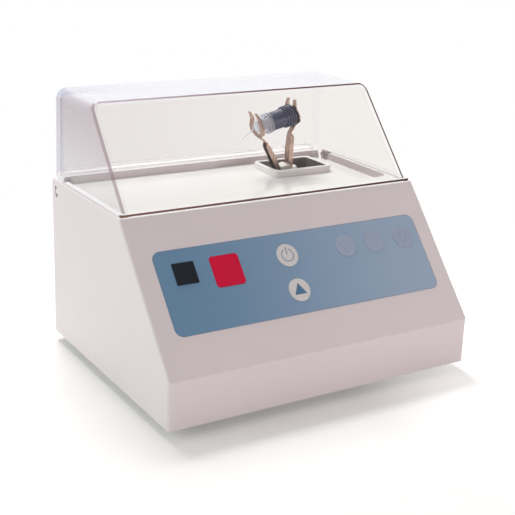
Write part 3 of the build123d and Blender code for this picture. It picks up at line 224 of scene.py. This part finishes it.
def metal(name, colour, roughness, stretch=(1.0, 1.0, 1.0), streaks=700.0, variation=0.1):
    """Metal with drawn or ground streaks along the axis with the smallest stretch."""
    s = Shader(name)
    lines = s.noise(streaks, 3.0, 0.6, stretch)
    cloud = s.noise(90.0, 3.0)
    tone = s.mix(s.span(cloud, 0.3, 0.7), shade(colour, 1 - variation), shade(colour, 1 + variation))
    s.surface(base_color=tone, metallic=1.0)
    s.surface(roughness=s.span(lines, 0.25, 0.75, roughness * 0.75, roughness * 1.25))
    s.bump(lines, 0.3, 0.00002)
    return s.material


def spring_steel():
    """Bronze-toned spring steel: the broad faces are light, and the folded flanks facing back or to the left
    are darkened with painted shade.
    """
    s = Shader("spring_steel")
    # painted shade: faces turned to the back and to the left are darkened
    back_flank_shade = s.span(s.along("Normal", Vector((0, 1, 0))), -0.2, 0.75)
    left_flank_shade = s.fade(s.along("Normal", Vector((1, 0, 0))), -0.95, -0.35)
    lines = s.noise(420.0, 3.0, 0.6, (1.0, 1.0, 0.10))
    cloud = s.span(s.noise(110.0, 3.0), 0.35, 0.65)
    face = s.mix(cloud, (0.60, 0.44, 0.36), (0.44, 0.32, 0.27))
    tone = s.mix(s.times(left_flank_shade, 0.45), face, (0.30, 0.18, 0.15))
    tone = s.mix(s.times(back_flank_shade, 0.8), tone, (0.14, 0.085, 0.075))
    tone = s.mix(s.span(lines, 0.52, 0.72, 0.0, 0.55), tone, (0.17, 0.10, 0.085))
    s.surface(base_color=tone, metallic=1.0, roughness=s.span(lines, 0.25, 0.75, 0.20, 0.36))
    s.bump(lines, 0.35, 0.00003)
    return s.material


def rubber(name, colour):
    """Soft black rubber with a dusty bloom in its pores."""
    s = Shader(name)
    bloom = s.noise(140.0, 5.0, 0.6)
    s.surface(base_color=s.mix(s.span(bloom, 0.45, 0.8), colour, shade(colour, 2.2)), roughness=0.78)
    s.bump(s.noise(1600.0, 2.0), 0.4, 0.00004)
    return s.material


# --------------------------------------------------------------- materials
CASING_COLOUR = (0.715, 0.620, 0.632)
DECK_COLOUR = (0.93, 0.915, 0.90)
# painted shade on the tray's upright walls, the collar's sides and down the arm's opening
TRAY_WALL_SHADE = (0.54, 0.465, 0.468)
COLLAR_WALL_SHADE = (0.82, 0.765, 0.76)
WELL_SHADE = (0.22, 0.16, 0.165)
POLISH = -0.31


def casing_material():
    """Satin warm-white moulding; the deck and its collar are polished. The tray's upright walls and the
    collar's sides carry painted shade, darkest down the arm's opening.
    """
    s = Shader("casing_plastic")
    x, y, z = s.place()
    ledge = s.span(z, RIM - 0.0004, RIM - 0.0001)
    inside = s.times(
        s.span(z, DECK - 0.004, DECK - 0.002), s.most(ledge, s.span(y, DECK_FRONT - 0.003, DECK_FRONT)),
        s.fade(y, TRAY_BACK, TRAY_BACK + 0.0004),
        s.fade(s.math("ABSOLUTE", x), TRAY_HALF, TRAY_HALF + 0.0006))
    from_x, from_y = (s.math("ABSOLUTE", s.math("SUBTRACT", at, middle))
                      for at, middle in zip((x, y), WELL_CENTRE))

    def within(half):
        """1 inside a rectangle round the arm's opening."""
        return s.times(s.fade(from_x, half[0], half[0] + 0.0002), s.fade(from_y, half[1], half[1] + 0.0002))

    # painted shade: upright walls darker than the deck, darkest inside the arm's opening
    well = s.times(within(WELL_HALF), s.span(z, DECK - 0.0035, DECK - 0.003))
    walls = s.mix(well, s.mix(within(COLLAR_HALF), TRAY_WALL_SHADE, COLLAR_WALL_SHADE), WELL_SHADE)
    tray = s.mix(s.fade(s.facing(UP), 0.3, 0.7), DECK_COLOUR, walls)
    mottle = s.span(s.noise(9.0, 4.0), 0.3, 0.7)
    body = s.mix(mottle, shade(CASING_COLOUR, 0.985), shade(CASING_COLOUR, 1.015))
    satin = s.span(s.noise(45.0, 3.0), 0.3, 0.7, 0.36, 0.44)
    s.surface(base_color=s.mix(inside, body, tray),
              roughness=s.math("ADD", satin, s.times(inside, POLISH)))
    s.bump(s.noise(1500.0, 2.0), 0.12, 0.00001)
    return s.material


PANEL_LEFT = (0.124, 0.236, 0.375)
# painted sheen: the film's blue made lighter towards the right
PANEL_RIGHT_SHEEN = (0.315, 0.392, 0.525)
PANEL_SPECK = (0.30, 0.42, 0.52)


def panel_material():
    """Blue printed film with a fine grain, a little lighter to the right as a painted sheen."""
    s = Shader("panel_film")
    tone = s.mix(s.span(s.place()[0], -0.09, 0.09), PANEL_LEFT, PANEL_RIGHT_SHEEN)
    speck = s.span(s.noise(2200.0, 1.0), 0.35, 0.65, 0.0, 0.10)
    s.surface(base_color=s.mix(speck, tone, PANEL_SPECK), roughness=0.42)
    s.bump(s.noise(2600.0, 1.0), 0.15, 0.00001)
    return s.material


# colours of the lid's skin: walls, a hazy top with a painted reflection, bends and the flange's edge in
# painted shade, and the rear lip as a painted highlight
SKIN = (0.93, 0.91, 0.935)
SKIN_TOP_HAZE_AND_REFLECTION = (0.86, 0.86, 0.95)
SKIN_PLAIN_BEND_SHADE = (0.62, 0.62, 0.70)
SKIN_BEND_SHADE = ((0.42, 0.33, 0.35), (0.10, 0.036, 0.028))
SKIN_EDGE_SHADE = ((0.20, 0.10, 0.085), (0.085, 0.032, 0.028))
SKIN_LIP_HIGHLIGHT = (0.97, 0.965, 0.97)
# tints of what shows through, in pairs from left to right or from foot to top; the left wall's carries a
# painted reflection and the bends' are painted shade
TINT = ((0.952, 0.941, 0.936), (0.975, 0.966, 0.957))
TINT_LEFT_WALL_REFLECTION = ((0.885, 0.868, 0.872), (0.775, 0.730, 0.755))
TINT_TOP = (0.972, 0.965, 0.976)
TINT_BEND_SHADE = ((0.70, 0.62, 0.64), (0.42, 0.24, 0.20))
TINT_REAR_BEND_SHADE = (0.81, 0.81, 0.88)
TINT_SHADOW = (0.995, 0.992, 0.990)
ACRYLIC_IOR = 1.3


def lid_regions(s):
    """Masks of the lid's parts by name: 1 inside the part and 0 elsewhere."""
    x, y, z = s.place()
    _, normal_y, normal_z = s.place("Normal")
    lean = math.atan2(LID_FOOT_HALF - LID_TOP_HALF, LID_TOP - LID_LOW)
    right_face = Vector((math.cos(lean), 0, math.sin(lean)))
    left_face = Vector((-right_face.x, 0, right_face.z))
    front, top, back, right, left = (
        s.facing(face) for face in (SLOPE_NORMAL, UP, Vector((0, 1, 0)), right_face, left_face))
    flat = s.most(front, top, back, right, left)
    reach = s.along("Object", SLOPE_NORMAL)
    near_front = s.span(reach, FRONT_FACE - 0.0065, FRONT_FACE - 0.0050)
    foot = s.fade(z, LID_LOW + FLANGE - 0.0001, LID_LOW + FLANGE + 0.0003)
    above = s.inverse(foot)
    leftward = s.fade(x, -0.05, 0.05)

    # the outer skin's normals point away from the middle of the lid, the inner skin's towards it
    backfacing = s.node("NewGeometry").outputs["Backfacing"]
    from_middle = s.node("VectorMath", operation="SUBTRACT")
    s.link(s.coords.outputs["Object"], from_middle.inputs[0])
    s.put(from_middle.inputs[1], LID_MIDDLE)
    outward = s.node("VectorMath", operation="DOT_PRODUCT")
    s.link(s.coords.outputs["Normal"], outward.inputs[0])
    s.link(from_middle.outputs[0], outward.inputs[1])
    true_side = s.inverse(s.times(backfacing, 2.0))
    outer_skin = s.span(s.times(outward.outputs["Value"], true_side), -0.001, 0.001)

    # the front's bends, where the painted shade lies: a wide line at the top and the right, a narrow one at
    # the left
    on_side = s.times(s.span(left, 0.15, 0.30), leftward)
    line = s.math("ADD", s.times(s.fade(flat, 0.955, 0.999), s.inverse(on_side)),
                  s.times(s.fade(flat, 0.82, 0.93), on_side))
    corner = s.span(z, LID_TOP - 0.0060, LID_TOP - 0.0045)
    deep = s.times(s.fade(reach, FRONT_FACE - 0.0027, FRONT_FACE - 0.0019), s.most(corner, leftward))
    plain_bend = s.times(s.fade(flat, 0.93, 0.9985), s.inverse(near_front), above)
    return {
        "above": above,
        "top": s.span(top, 0.9, 0.99),
        "left": s.times(s.span(left, 0.35, 0.98), leftward),
        "front_bend": s.times(line, near_front, above, outer_skin, s.inverse(deep)),
        "front_edge": s.times(foot, s.fade(s.math("ABSOLUTE", normal_z), 0.3, 0.6),
                              s.fade(normal_y, -0.75, -0.4), s.fade(y, 0.01, 0.02)),
        "plain_bend": plain_bend,
        "rear_bend": s.times(plain_bend, s.span(y, 0.066, 0.078), s.fade(x, -0.09, -0.05)),
        "lip": s.times(s.fade(z, LID_LOW + 0.0025, LID_LOW + 0.0045), s.span(y, 0.0700, 0.0740),
                       s.span(z, LID_LOW - 0.0006, LID_LOW - 0.0004),
                       s.fade(s.math("ABSOLUTE", x), 0.092, 0.097)),
        "entering": s.inverse(backfacing),
    }


def lid_material():
    """Clear acrylic: hazy and whitish on top, partly a painted reflection, with painted brown shade along
    the front bends and the flange's edge and a painted highlight on the rear lip.
    """
    s = Shader("lid_acrylic")
    x, _, z = s.place()
    part = lid_regions(s)
    to_right = s.span(x, -0.095, 0.06)
    # the top's whitish skin: haze with a painted reflection
    skin = s.mix(part["top"], SKIN, SKIN_TOP_HAZE_AND_REFLECTION)
    # painted shade: the front bends, the other bends and the flange's edge darken the skin
    skin = s.mix(part["front_bend"], skin, s.mix(to_right, *SKIN_BEND_SHADE))
    skin = s.mix(s.times(part["plain_bend"], 0.5), skin, SKIN_PLAIN_BEND_SHADE)
    skin = s.mix(part["front_edge"], skin, s.mix(to_right, *SKIN_EDGE_SHADE))
    # painted highlight: the rear lip turned white
    skin = s.mix(part["lip"], skin, SKIN_LIP_HIGHLIGHT)
    glossy = s.inverse(s.most(part["front_bend"], part["front_edge"], part["lip"]))
    s.surface(base_color=skin, roughness=0.07, specular_ior_level=s.times(glossy, 0.5))
    s.bump(s.noise(9.0, 1.0), 0.01, 0.0004)

    tint = s.mix(s.span(x, -0.08, 0.09), *TINT)
    # painted reflection: the left wall darker and pinker towards the top
    tint = s.mix(part["left"], tint, s.mix(s.span(z, LID_LOW, LID_TOP), *TINT_LEFT_WALL_REFLECTION))
    tint = s.mix(part["top"], tint, TINT_TOP)
    # painted shade: the front and rear bends dim what shows through
    tint = s.mix(part["front_bend"], tint, s.mix(to_right, *TINT_BEND_SHADE))
    tint = s.mix(part["rear_bend"], tint, TINT_REAR_BEND_SHADE)

    haze = s.span(s.noise(18.0, 2.0), 0.35, 0.65, 0.92, 1.08)
    # haze on the top and the left wall, partly a painted reflection
    milky_and_reflected = s.math("ADD", s.times(part["top"], 0.26), s.times(part["left"], 0.05))
    solid = s.times(s.math("ADD", milky_and_reflected, 0.02), haze, part["above"])
    # the bends' painted shade is made more opaque
    solid = s.math("ADD", solid, s.times(part["front_bend"], s.span(x, -0.09, 0.05, 0.42, 0.97)))
    solid = s.math("ADD", solid, s.times(part["plain_bend"], s.span(x, -0.06, 0.0, 0.12, 0.02)))
    # the lip's painted highlight and the edge's painted shade are kept nearly opaque
    solid = s.most(solid, s.times(part["lip"], 0.85), s.times(part["front_edge"], 0.97))
    fresnel = s.node("Fresnel")
    fresnel.inputs["IOR"].default_value = ACRYLIC_IOR
    off_ears = s.span(z, LID_LOW - 0.0006, LID_LOW - 0.0004, 0.3, 1.0)
    sheen = s.times(fresnel.outputs[0], 0.35, part["entering"], off_ears)
    solid = s.math("MINIMUM", s.math("ADD", solid, sheen), 1.0)
    shadow = s.node("LightPath").outputs["Is Shadow Ray"]
    s.see_through(s.mix(shadow, tint, TINT_SHADOW), s.times(solid, s.inverse(s.times(shadow, 0.9))))
    return s.material


def clear_plastic(name, colour, solid):
    """Clear plastic whose edges look denser than its faces: a painted sheen, more opaque where the surface
    turns away.
    """
    s = Shader(name)
    cloud = s.span(s.noise(300.0, 2.0), 0.3, 0.7)
    s.surface(base_color=s.mix(cloud, shade(colour, 0.94), colour), roughness=0.12)
    # painted sheen: glancing edges turn nearly opaque
    edge_sheen = s.node("LayerWeight")
    edge_sheen.inputs["Blend"].default_value = 0.35
    s.see_through(shade(colour, 1.5), s.span(edge_sheen.outputs["Facing"], 0.1, 0.9, solid, 0.9))
    return s.material


def board_material():
    """Green circuit board: solder resist over a faint grid of copper tracks."""
    s = Shader("circuit_board")
    tracks = s.node("TexBrick")
    s.link(s.coords.outputs["Object"], tracks.inputs["Vector"])
    tracks.inputs["Scale"].default_value = 160.0
    tracks.inputs["Mortar Size"].default_value = 0.06
    green = (0.015, 0.12, 0.05)
    s.surface(base_color=s.mix(tracks.outputs["Fac"], green, shade(green, 1.8)), roughness=0.35)
    s.bump(tracks.outputs["Fac"], 0.2, 0.00004)
    return s.material


def wound_material():
    """A coil under yellow tape, ribbed by the turns beneath."""
    s = Shader("coil_tape")
    wave = s.node("TexWave", bands_direction="Z")
    s.link(s.coords.outputs["Object"], wave.inputs["Vector"])
    wave.inputs["Scale"].default_value = 260.0
    s.surface(base_color=s.mix(wave.outputs["Fac"], (0.52, 0.36, 0.04), (0.66, 0.48, 0.08)), roughness=0.4)
    s.bump(wave.outputs["Fac"], 0.4, 0.0001)
    return s.material


def laminated_material():
    """Stacked iron sheets seen on edge."""
    s = Shader("laminations")
    wave = s.node("TexWave", bands_direction="Y")
    s.link(s.coords.outputs["Object"], wave.inputs["Vector"])
    wave.inputs["Scale"].default_value = 320.0
    s.surface(base_color=s.mix(wave.outputs["Fac"], (0.06, 0.06, 0.065), (0.12, 0.12, 0.125)))
    s.surface(metallic=0.7, roughness=0.5)
    s.bump(wave.outputs["Fac"], 0.4, 0.0001)
    return s.material


ALONG_X = (0.1, 1.0, 1.0)
ALONG_Y = (1.0, 0.05, 1.0)
ALONG_Z = (1.0, 1.0, 0.08)
materials = {
    "casing": casing_material(),
    "panel": panel_material(),
    "lid": lid_material(),
    "window": plastic("window_red", (0.64, 0.004, 0.042), 0.5, grain_depth=0.000005, gleam=0.18),
    "badge": plastic("badge_black", (0.004, 0.008, 0.014), 0.5, grain_depth=0.000005, gleam=0.3),
    "key_cream": plastic("key_cream", (0.66, 0.61, 0.60), 0.42, variation=0.02),
    "key_grey": plastic("key_grey", (0.33, 0.375, 0.49), 0.45, variation=0.02),
    "print_blue": plastic("print_blue", (0.07, 0.165, 0.285), 0.45, variation=0.02),
    "print_pale": plastic("print_pale", (0.27, 0.32, 0.42), 0.45, variation=0.02),
    "spring": spring_steel(),
    "steel": metal("turned_steel", (0.55, 0.53, 0.50), 0.30, ALONG_Z),
    "bright": metal("ground_steel", (0.68, 0.67, 0.65), 0.16, ALONG_Y),
    "zinc": metal("zinc_plate", (0.55, 0.56, 0.57), 0.38, streaks=260.0, variation=0.18),
    "brass": metal("turned_brass", (0.72, 0.50, 0.20), 0.28, ALONG_X),
    "copper": metal("copper_bars", (0.72, 0.32, 0.16), 0.28, ALONG_X),
    "nylon": plastic("nylon_white", (0.74, 0.72, 0.67), 0.46, grain=500.0, grain_depth=0.00003),
    "black": plastic("black_plastic", (0.018, 0.018, 0.02), 0.5, grain=700.0, grain_depth=0.00004,
                     variation=0.15),
    "black_gloss": plastic("black_gloss", (0.012, 0.012, 0.013), 0.22, grain=400.0, grain_depth=0.000005,
                           variation=0.1, coat=0.4),
    "rubber": rubber("black_rubber", (0.02, 0.02, 0.021)),
    "ferrite": plastic("ferrite", (0.035, 0.035, 0.037), 0.6, grain_depth=0.00004, variation=0.2),
    "board": board_material(),
    "coil": wound_material(),
    "iron": laminated_material(),
    "capsule_blue": plastic("capsule_blue", (0.048, 0.052, 0.105), 0.33, grain=500.0, variation=0.1),
    "capsule_clear": clear_plastic("capsule_clear", (0.70, 0.70, 0.80), 0.30),
    "dark_glass": plastic("display_dark", (0.05, 0.01, 0.012), 0.2, grain=400.0, grain_depth=0.000005,
                          variation=0.05, coat=0.5),
}
node_materials = {
    "casing": ["housing", "deck_plate"],
    "panel": ["keypad_overlay"],
    "lid": ["lid"],
    "window": ["display_window"],
    "badge": ["blank_badge"],
    "key_cream": ["key_power", "key_start"],
    "key_grey": ["key_mode_1", "key_mode_2", "key_mode_3"],
    "spring": ["claw_left", "claw_right"],
    "steel": ["crank_hub", "hub_fasteners"],
    "bright": ["lid_magnet", "rotor_shaft", "bearing_inner_race", "bearing_outer_race",
               "bearing_balls", "torque_pin"],
    "zinc": ["base_plate", "foot_fasteners", "base_screws", "board_screws", "mount_screws", "motor_screws",
             "inlet_screws", "claw_fasteners", "motor_can", "motor_bracket"],
    "brass": ["inlet_pins", "board_standoffs", "motor_terminals"],
    "copper": ["commutator"],
    "nylon": ["hinge_pins", "holder", "torque_guide", "bearing_cage", "capsule_plunger"],
    "black": ["mains_inlet", "power_switch_body", "fuse_holder", "tact_switches", "board_components",
              "motor_end_cap"],
    "black_gloss": ["power_rocker", "fuse_cap"],
    "rubber": ["rubber_feet", "vibration_mounts"],
    "ferrite": ["motor_magnets"],
    "board": ["keypad_board", "main_board"],
    "coil": ["transformer_coil"],
    "iron": ["transformer_core", "armature"],
    "capsule_blue": ["capsule_body"],
    "capsule_clear": ["capsule_cap"],
    "dark_glass": ["display_module", "lid_sensor"],
}
for key, names in node_materials.items():
    for name in names:
        mesh = nodes[name].data
        mesh.materials.clear()
        mesh.materials.append(materials[key])


# ------------------------------------------------------------ printed marks
WEB_INNER = 0.00717
WEB_OUTER = 0.00745
POWER_RING = (0.0037, 0.0042)
POWER_SWEEP = (112, 428)
POWER_BAR = (0.00025, 0.0004, 0.0054)
START_SIZE = 0.0048
START_DROP = 0.0004
MODE_SIZE = -0.0054
MODE_HOLE = 0.88


def on_slope(x, s, lift):
    """A point of the operator panel: x across, s up the slope, lift off it."""
    return SLOPE_FOOT + Vector((x, 0, 0)) + SLOPE_UP * s + SLOPE_NORMAL * lift


def key_face(name):
    """The middle of a key's top face as (x, s, lift) on the panel."""
    points = [v.co - SLOPE_FOOT for v in nodes[name].data.vertices]
    lift = max(SLOPE_NORMAL.dot(point) for point in points)
    top = [point for point in points if SLOPE_NORMAL.dot(point) > lift - 0.0001]
    xs = [point.x for point in top]
    ups = [SLOPE_UP.dot(point) for point in top]
    return (min(xs) + max(xs)) / 2, (min(ups) + max(ups)) / 2, lift


def printed(name, faces, body, material):
    """A thin printed mark: faces given as lists of points, with a little thickness."""
    mesh = bpy.data.meshes.new(name)
    bm = bmesh.new()
    for face in faces:
        bm.faces.new([bm.verts.new(point) for point in face])
    bmesh.ops.remove_doubles(bm, verts=bm.verts, dist=1e-7)
    bmesh.ops.recalc_face_normals(bm, faces=bm.faces)
    bm.to_mesh(mesh)
    bm.free()
    piece = bpy.data.objects.new(name, mesh)
    bpy.context.scene.collection.objects.link(piece)
    thick = piece.modifiers.new("thickness", "SOLIDIFY")
    thick.thickness = PRINT_LIFT
    thick.offset = 0
    mesh.materials.append(materials[material])
    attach(piece, body)


def arc_band(centre, inner, outer, start, end, steps=40):
    """Quads of a band between two radii, from start to end in degrees, on the panel."""
    x, s, lift = centre
    faces = []
    for i in range(steps):
        a = math.radians(start + (end - start) * i / steps)
        b = math.radians(start + (end - start) * (i + 1) / steps)
        ring = [(inner, a), (outer, a), (outer, b), (inner, b)]
        faces.append([on_slope(x + r * math.cos(t), s + r * math.sin(t), lift) for r, t in ring])
    return faces


def key_web(name, centre):
    """The film's thin web that closes the gap round a key."""
    ring = arc_band((centre[0], centre[1], PANEL_TOP), WEB_INNER, WEB_OUTER, 0, 360, 120)
    printed(name, ring, "chassis", "panel")


def bar(centre, half_width, low, high):
    """A quad that stands on the panel from low to high."""
    x, s, lift = centre
    corners = [(-half_width, low), (half_width, low), (half_width, high), (-half_width, high)]
    return [[on_slope(x + dx, s + ds, lift) for dx, ds in corners]]


def triangle(centre, size, inner=0.0):
    """A triangle pointing up the slope, or down for a minus size; inner is the hole's share."""
    x, s, lift = centre
    angles = [math.radians(90 + 120 * i) for i in range(3)]

    def corners(radius):
        return [on_slope(x + radius * math.cos(t), s + radius * math.sin(t), lift) for t in angles]

    outer = corners(size)
    if not inner:
        return [outer]
    hole = corners(size * inner)
    return [[outer[i], outer[i - 1], hole[i - 1], hole[i]] for i in range(3)]


power = key_face("key_power")
power_sign = arc_band(power, *POWER_RING, *POWER_SWEEP) + bar(power, *POWER_BAR)
printed("power_icon", power_sign, "key_power", "print_blue")
start = key_face("key_start")
start_sign = triangle((start[0], start[1] - START_DROP, start[2]), START_SIZE)
printed("start_icon", start_sign, "key_start", "print_blue")
key_web("power_web", power)
key_web("start_web", start)
for i in (1, 2, 3):
    mode = key_face(f"key_mode_{i}")
    key_web(f"mode_web_{i}", mode)
    mode_sign = triangle(mode, MODE_SIZE, MODE_HOLE)
    printed(f"mode_icon_{i}", mode_sign, f"key_mode_{i}", "print_pale")


# -------------------------------------------------------------------- stage
STUDIO_WHITE = (1.0, 0.99, 0.985)
PLAIN_WHITE = (1.0, 1.0, 1.0)
FLOOR_SIZE = 6.0
FLOOR_GLOW = (0.15, 0.42)
LIGHT_AIM = Vector((0.0, 0.0, 0.09))


def stage_floor():
    """A pale floor that reads white to the camera and keeps the object's shadow."""
    mesh = bpy.data.meshes.new("floor")
    bm = bmesh.new()
    bmesh.ops.create_grid(bm, x_segments=1, y_segments=1, size=FLOOR_SIZE)
    bm.to_mesh(mesh)
    bm.free()
    floor = bpy.data.objects.new("floor", mesh)
    bpy.context.scene.collection.objects.link(floor)
    s = Shader("floor_paper")
    x, y, _ = s.place()
    grain = s.span(s.noise(40.0, 2.0), 0.3, 0.7)
    diffuse = s.node("BsdfDiffuse")
    s.put(diffuse.inputs["Color"], s.mix(grain, (0.82, 0.785, 0.775), (0.84, 0.80, 0.79)))
    path = s.node("LightPath").outputs
    seen = s.most(path["Is Camera Ray"], path["Is Transmission Ray"], path["Is Glossy Ray"])
    near = s.node("AddShader")
    s.link(diffuse.outputs[0], near.inputs[0])
    s.link(s.glow(STUDIO_WHITE, s.times(seen, s.span(x, 0.01, 0.10, *FLOOR_GLOW))), near.inputs[1])
    away = s.math("SQRT", s.math("ADD", s.times(x, x), s.times(y, y)))
    far = s.glow(PLAIN_WHITE, 1.0)
    s.link(s.blend(s.times(seen, s.span(away, 0.17, 0.42)), near.outputs[0], far), s.output)
    mesh.materials.append(s.material)


def studio_world():
    """Soft light from all round, dimmer from the front ceiling, and plain white to the camera."""
    world = bpy.data.worlds.new("studio")
    bpy.context.scene.world = world
    world.use_nodes = True
    g = Graph(world.node_tree)
    light = g.tree.nodes["Background"]
    g.put(light.inputs["Color"], STUDIO_WHITE)
    front_ceiling = g.along("Generated", Vector((0.0, -0.65, 0.76)))
    g.put(light.inputs["Strength"], g.span(front_ceiling, 0.2, 0.95, 0.55, 0.29))
    white = g.node("Background")
    g.put(white.inputs["Color"], PLAIN_WHITE)
    path = g.node("LightPath").outputs
    behind = g.span(g.place("Generated")[1], -0.35, 0.35, 0.0, 0.64)
    seen = g.most(path["Is Camera Ray"], path["Is Transmission Ray"], g.times(path["Is Glossy Ray"], behind))
    g.link(g.blend(seen, light.outputs[0], white.outputs[0]), g.tree.nodes["World Output"].inputs["Surface"])


def softbox(name, place, size, power, colour):
    """A rectangular studio light that faces the object."""
    lamp = bpy.data.lights.new(name, "AREA")
    lamp.shape = "RECTANGLE"
    lamp.size, lamp.size_y = size
    lamp.energy = power
    lamp.color = colour
    made = bpy.data.objects.new(name, lamp)
    made.location = place
    made.rotation_euler = (LIGHT_AIM - Vector(place)).to_track_quat("-Z", "Y").to_euler()
    bpy.context.scene.collection.objects.link(made)


stage_floor()
studio_world()
softbox("left_box", (-1.3, 0.25, 0.55), (1.0, 1.0), 8.2, (0.80, 1.0, 0.97))
softbox("top_box", (0.1, 0.95, 1.35), (0.8, 0.6), 21.0, (0.97, 1.0, 0.985))
softbox("right_box", (1.2, -0.7, 0.6), (0.9, 0.9), 2.2, (1.0, 0.98, 0.97))
softbox("front_box", (0.4, -1.6, 0.12), (1.2, 0.6), 9.5, (1.0, 0.97, 0.97))

# ------------------------------------------------------------------- camera
CAMERA_PLACE = Vector((-0.3512, -0.5590, 0.2876))
CAMERA_YAW = math.radians(-32.23)
CAMERA_PITCH = math.radians(18.68)
CAMERA_ROLL = math.radians(2.19)
LENS = 76.96
SENSOR = 36.0
back = Vector((math.sin(CAMERA_YAW) * math.cos(CAMERA_PITCH),
               -math.cos(CAMERA_YAW) * math.cos(CAMERA_PITCH), math.sin(CAMERA_PITCH)))
right = (-back).cross(Vector((0, 0, 1))).normalized()
up = right.cross(-back)
rolled_right = right * math.cos(CAMERA_ROLL) + up * math.sin(CAMERA_ROLL)
rolled_up = up * math.cos(CAMERA_ROLL) - right * math.sin(CAMERA_ROLL)
lens = bpy.data.cameras.new("camera")
lens.lens = LENS
lens.sensor_width = SENSOR
camera = bpy.data.objects.new("camera", lens)
camera.matrix_world = Matrix.Translation(CAMERA_PLACE) @ Matrix(
    (rolled_right, rolled_up, back)).transposed().to_4x4()
bpy.context.scene.collection.objects.link(camera)
bpy.context.scene.camera = camera
bpy.context.scene.view_settings.view_transform = "Standard"
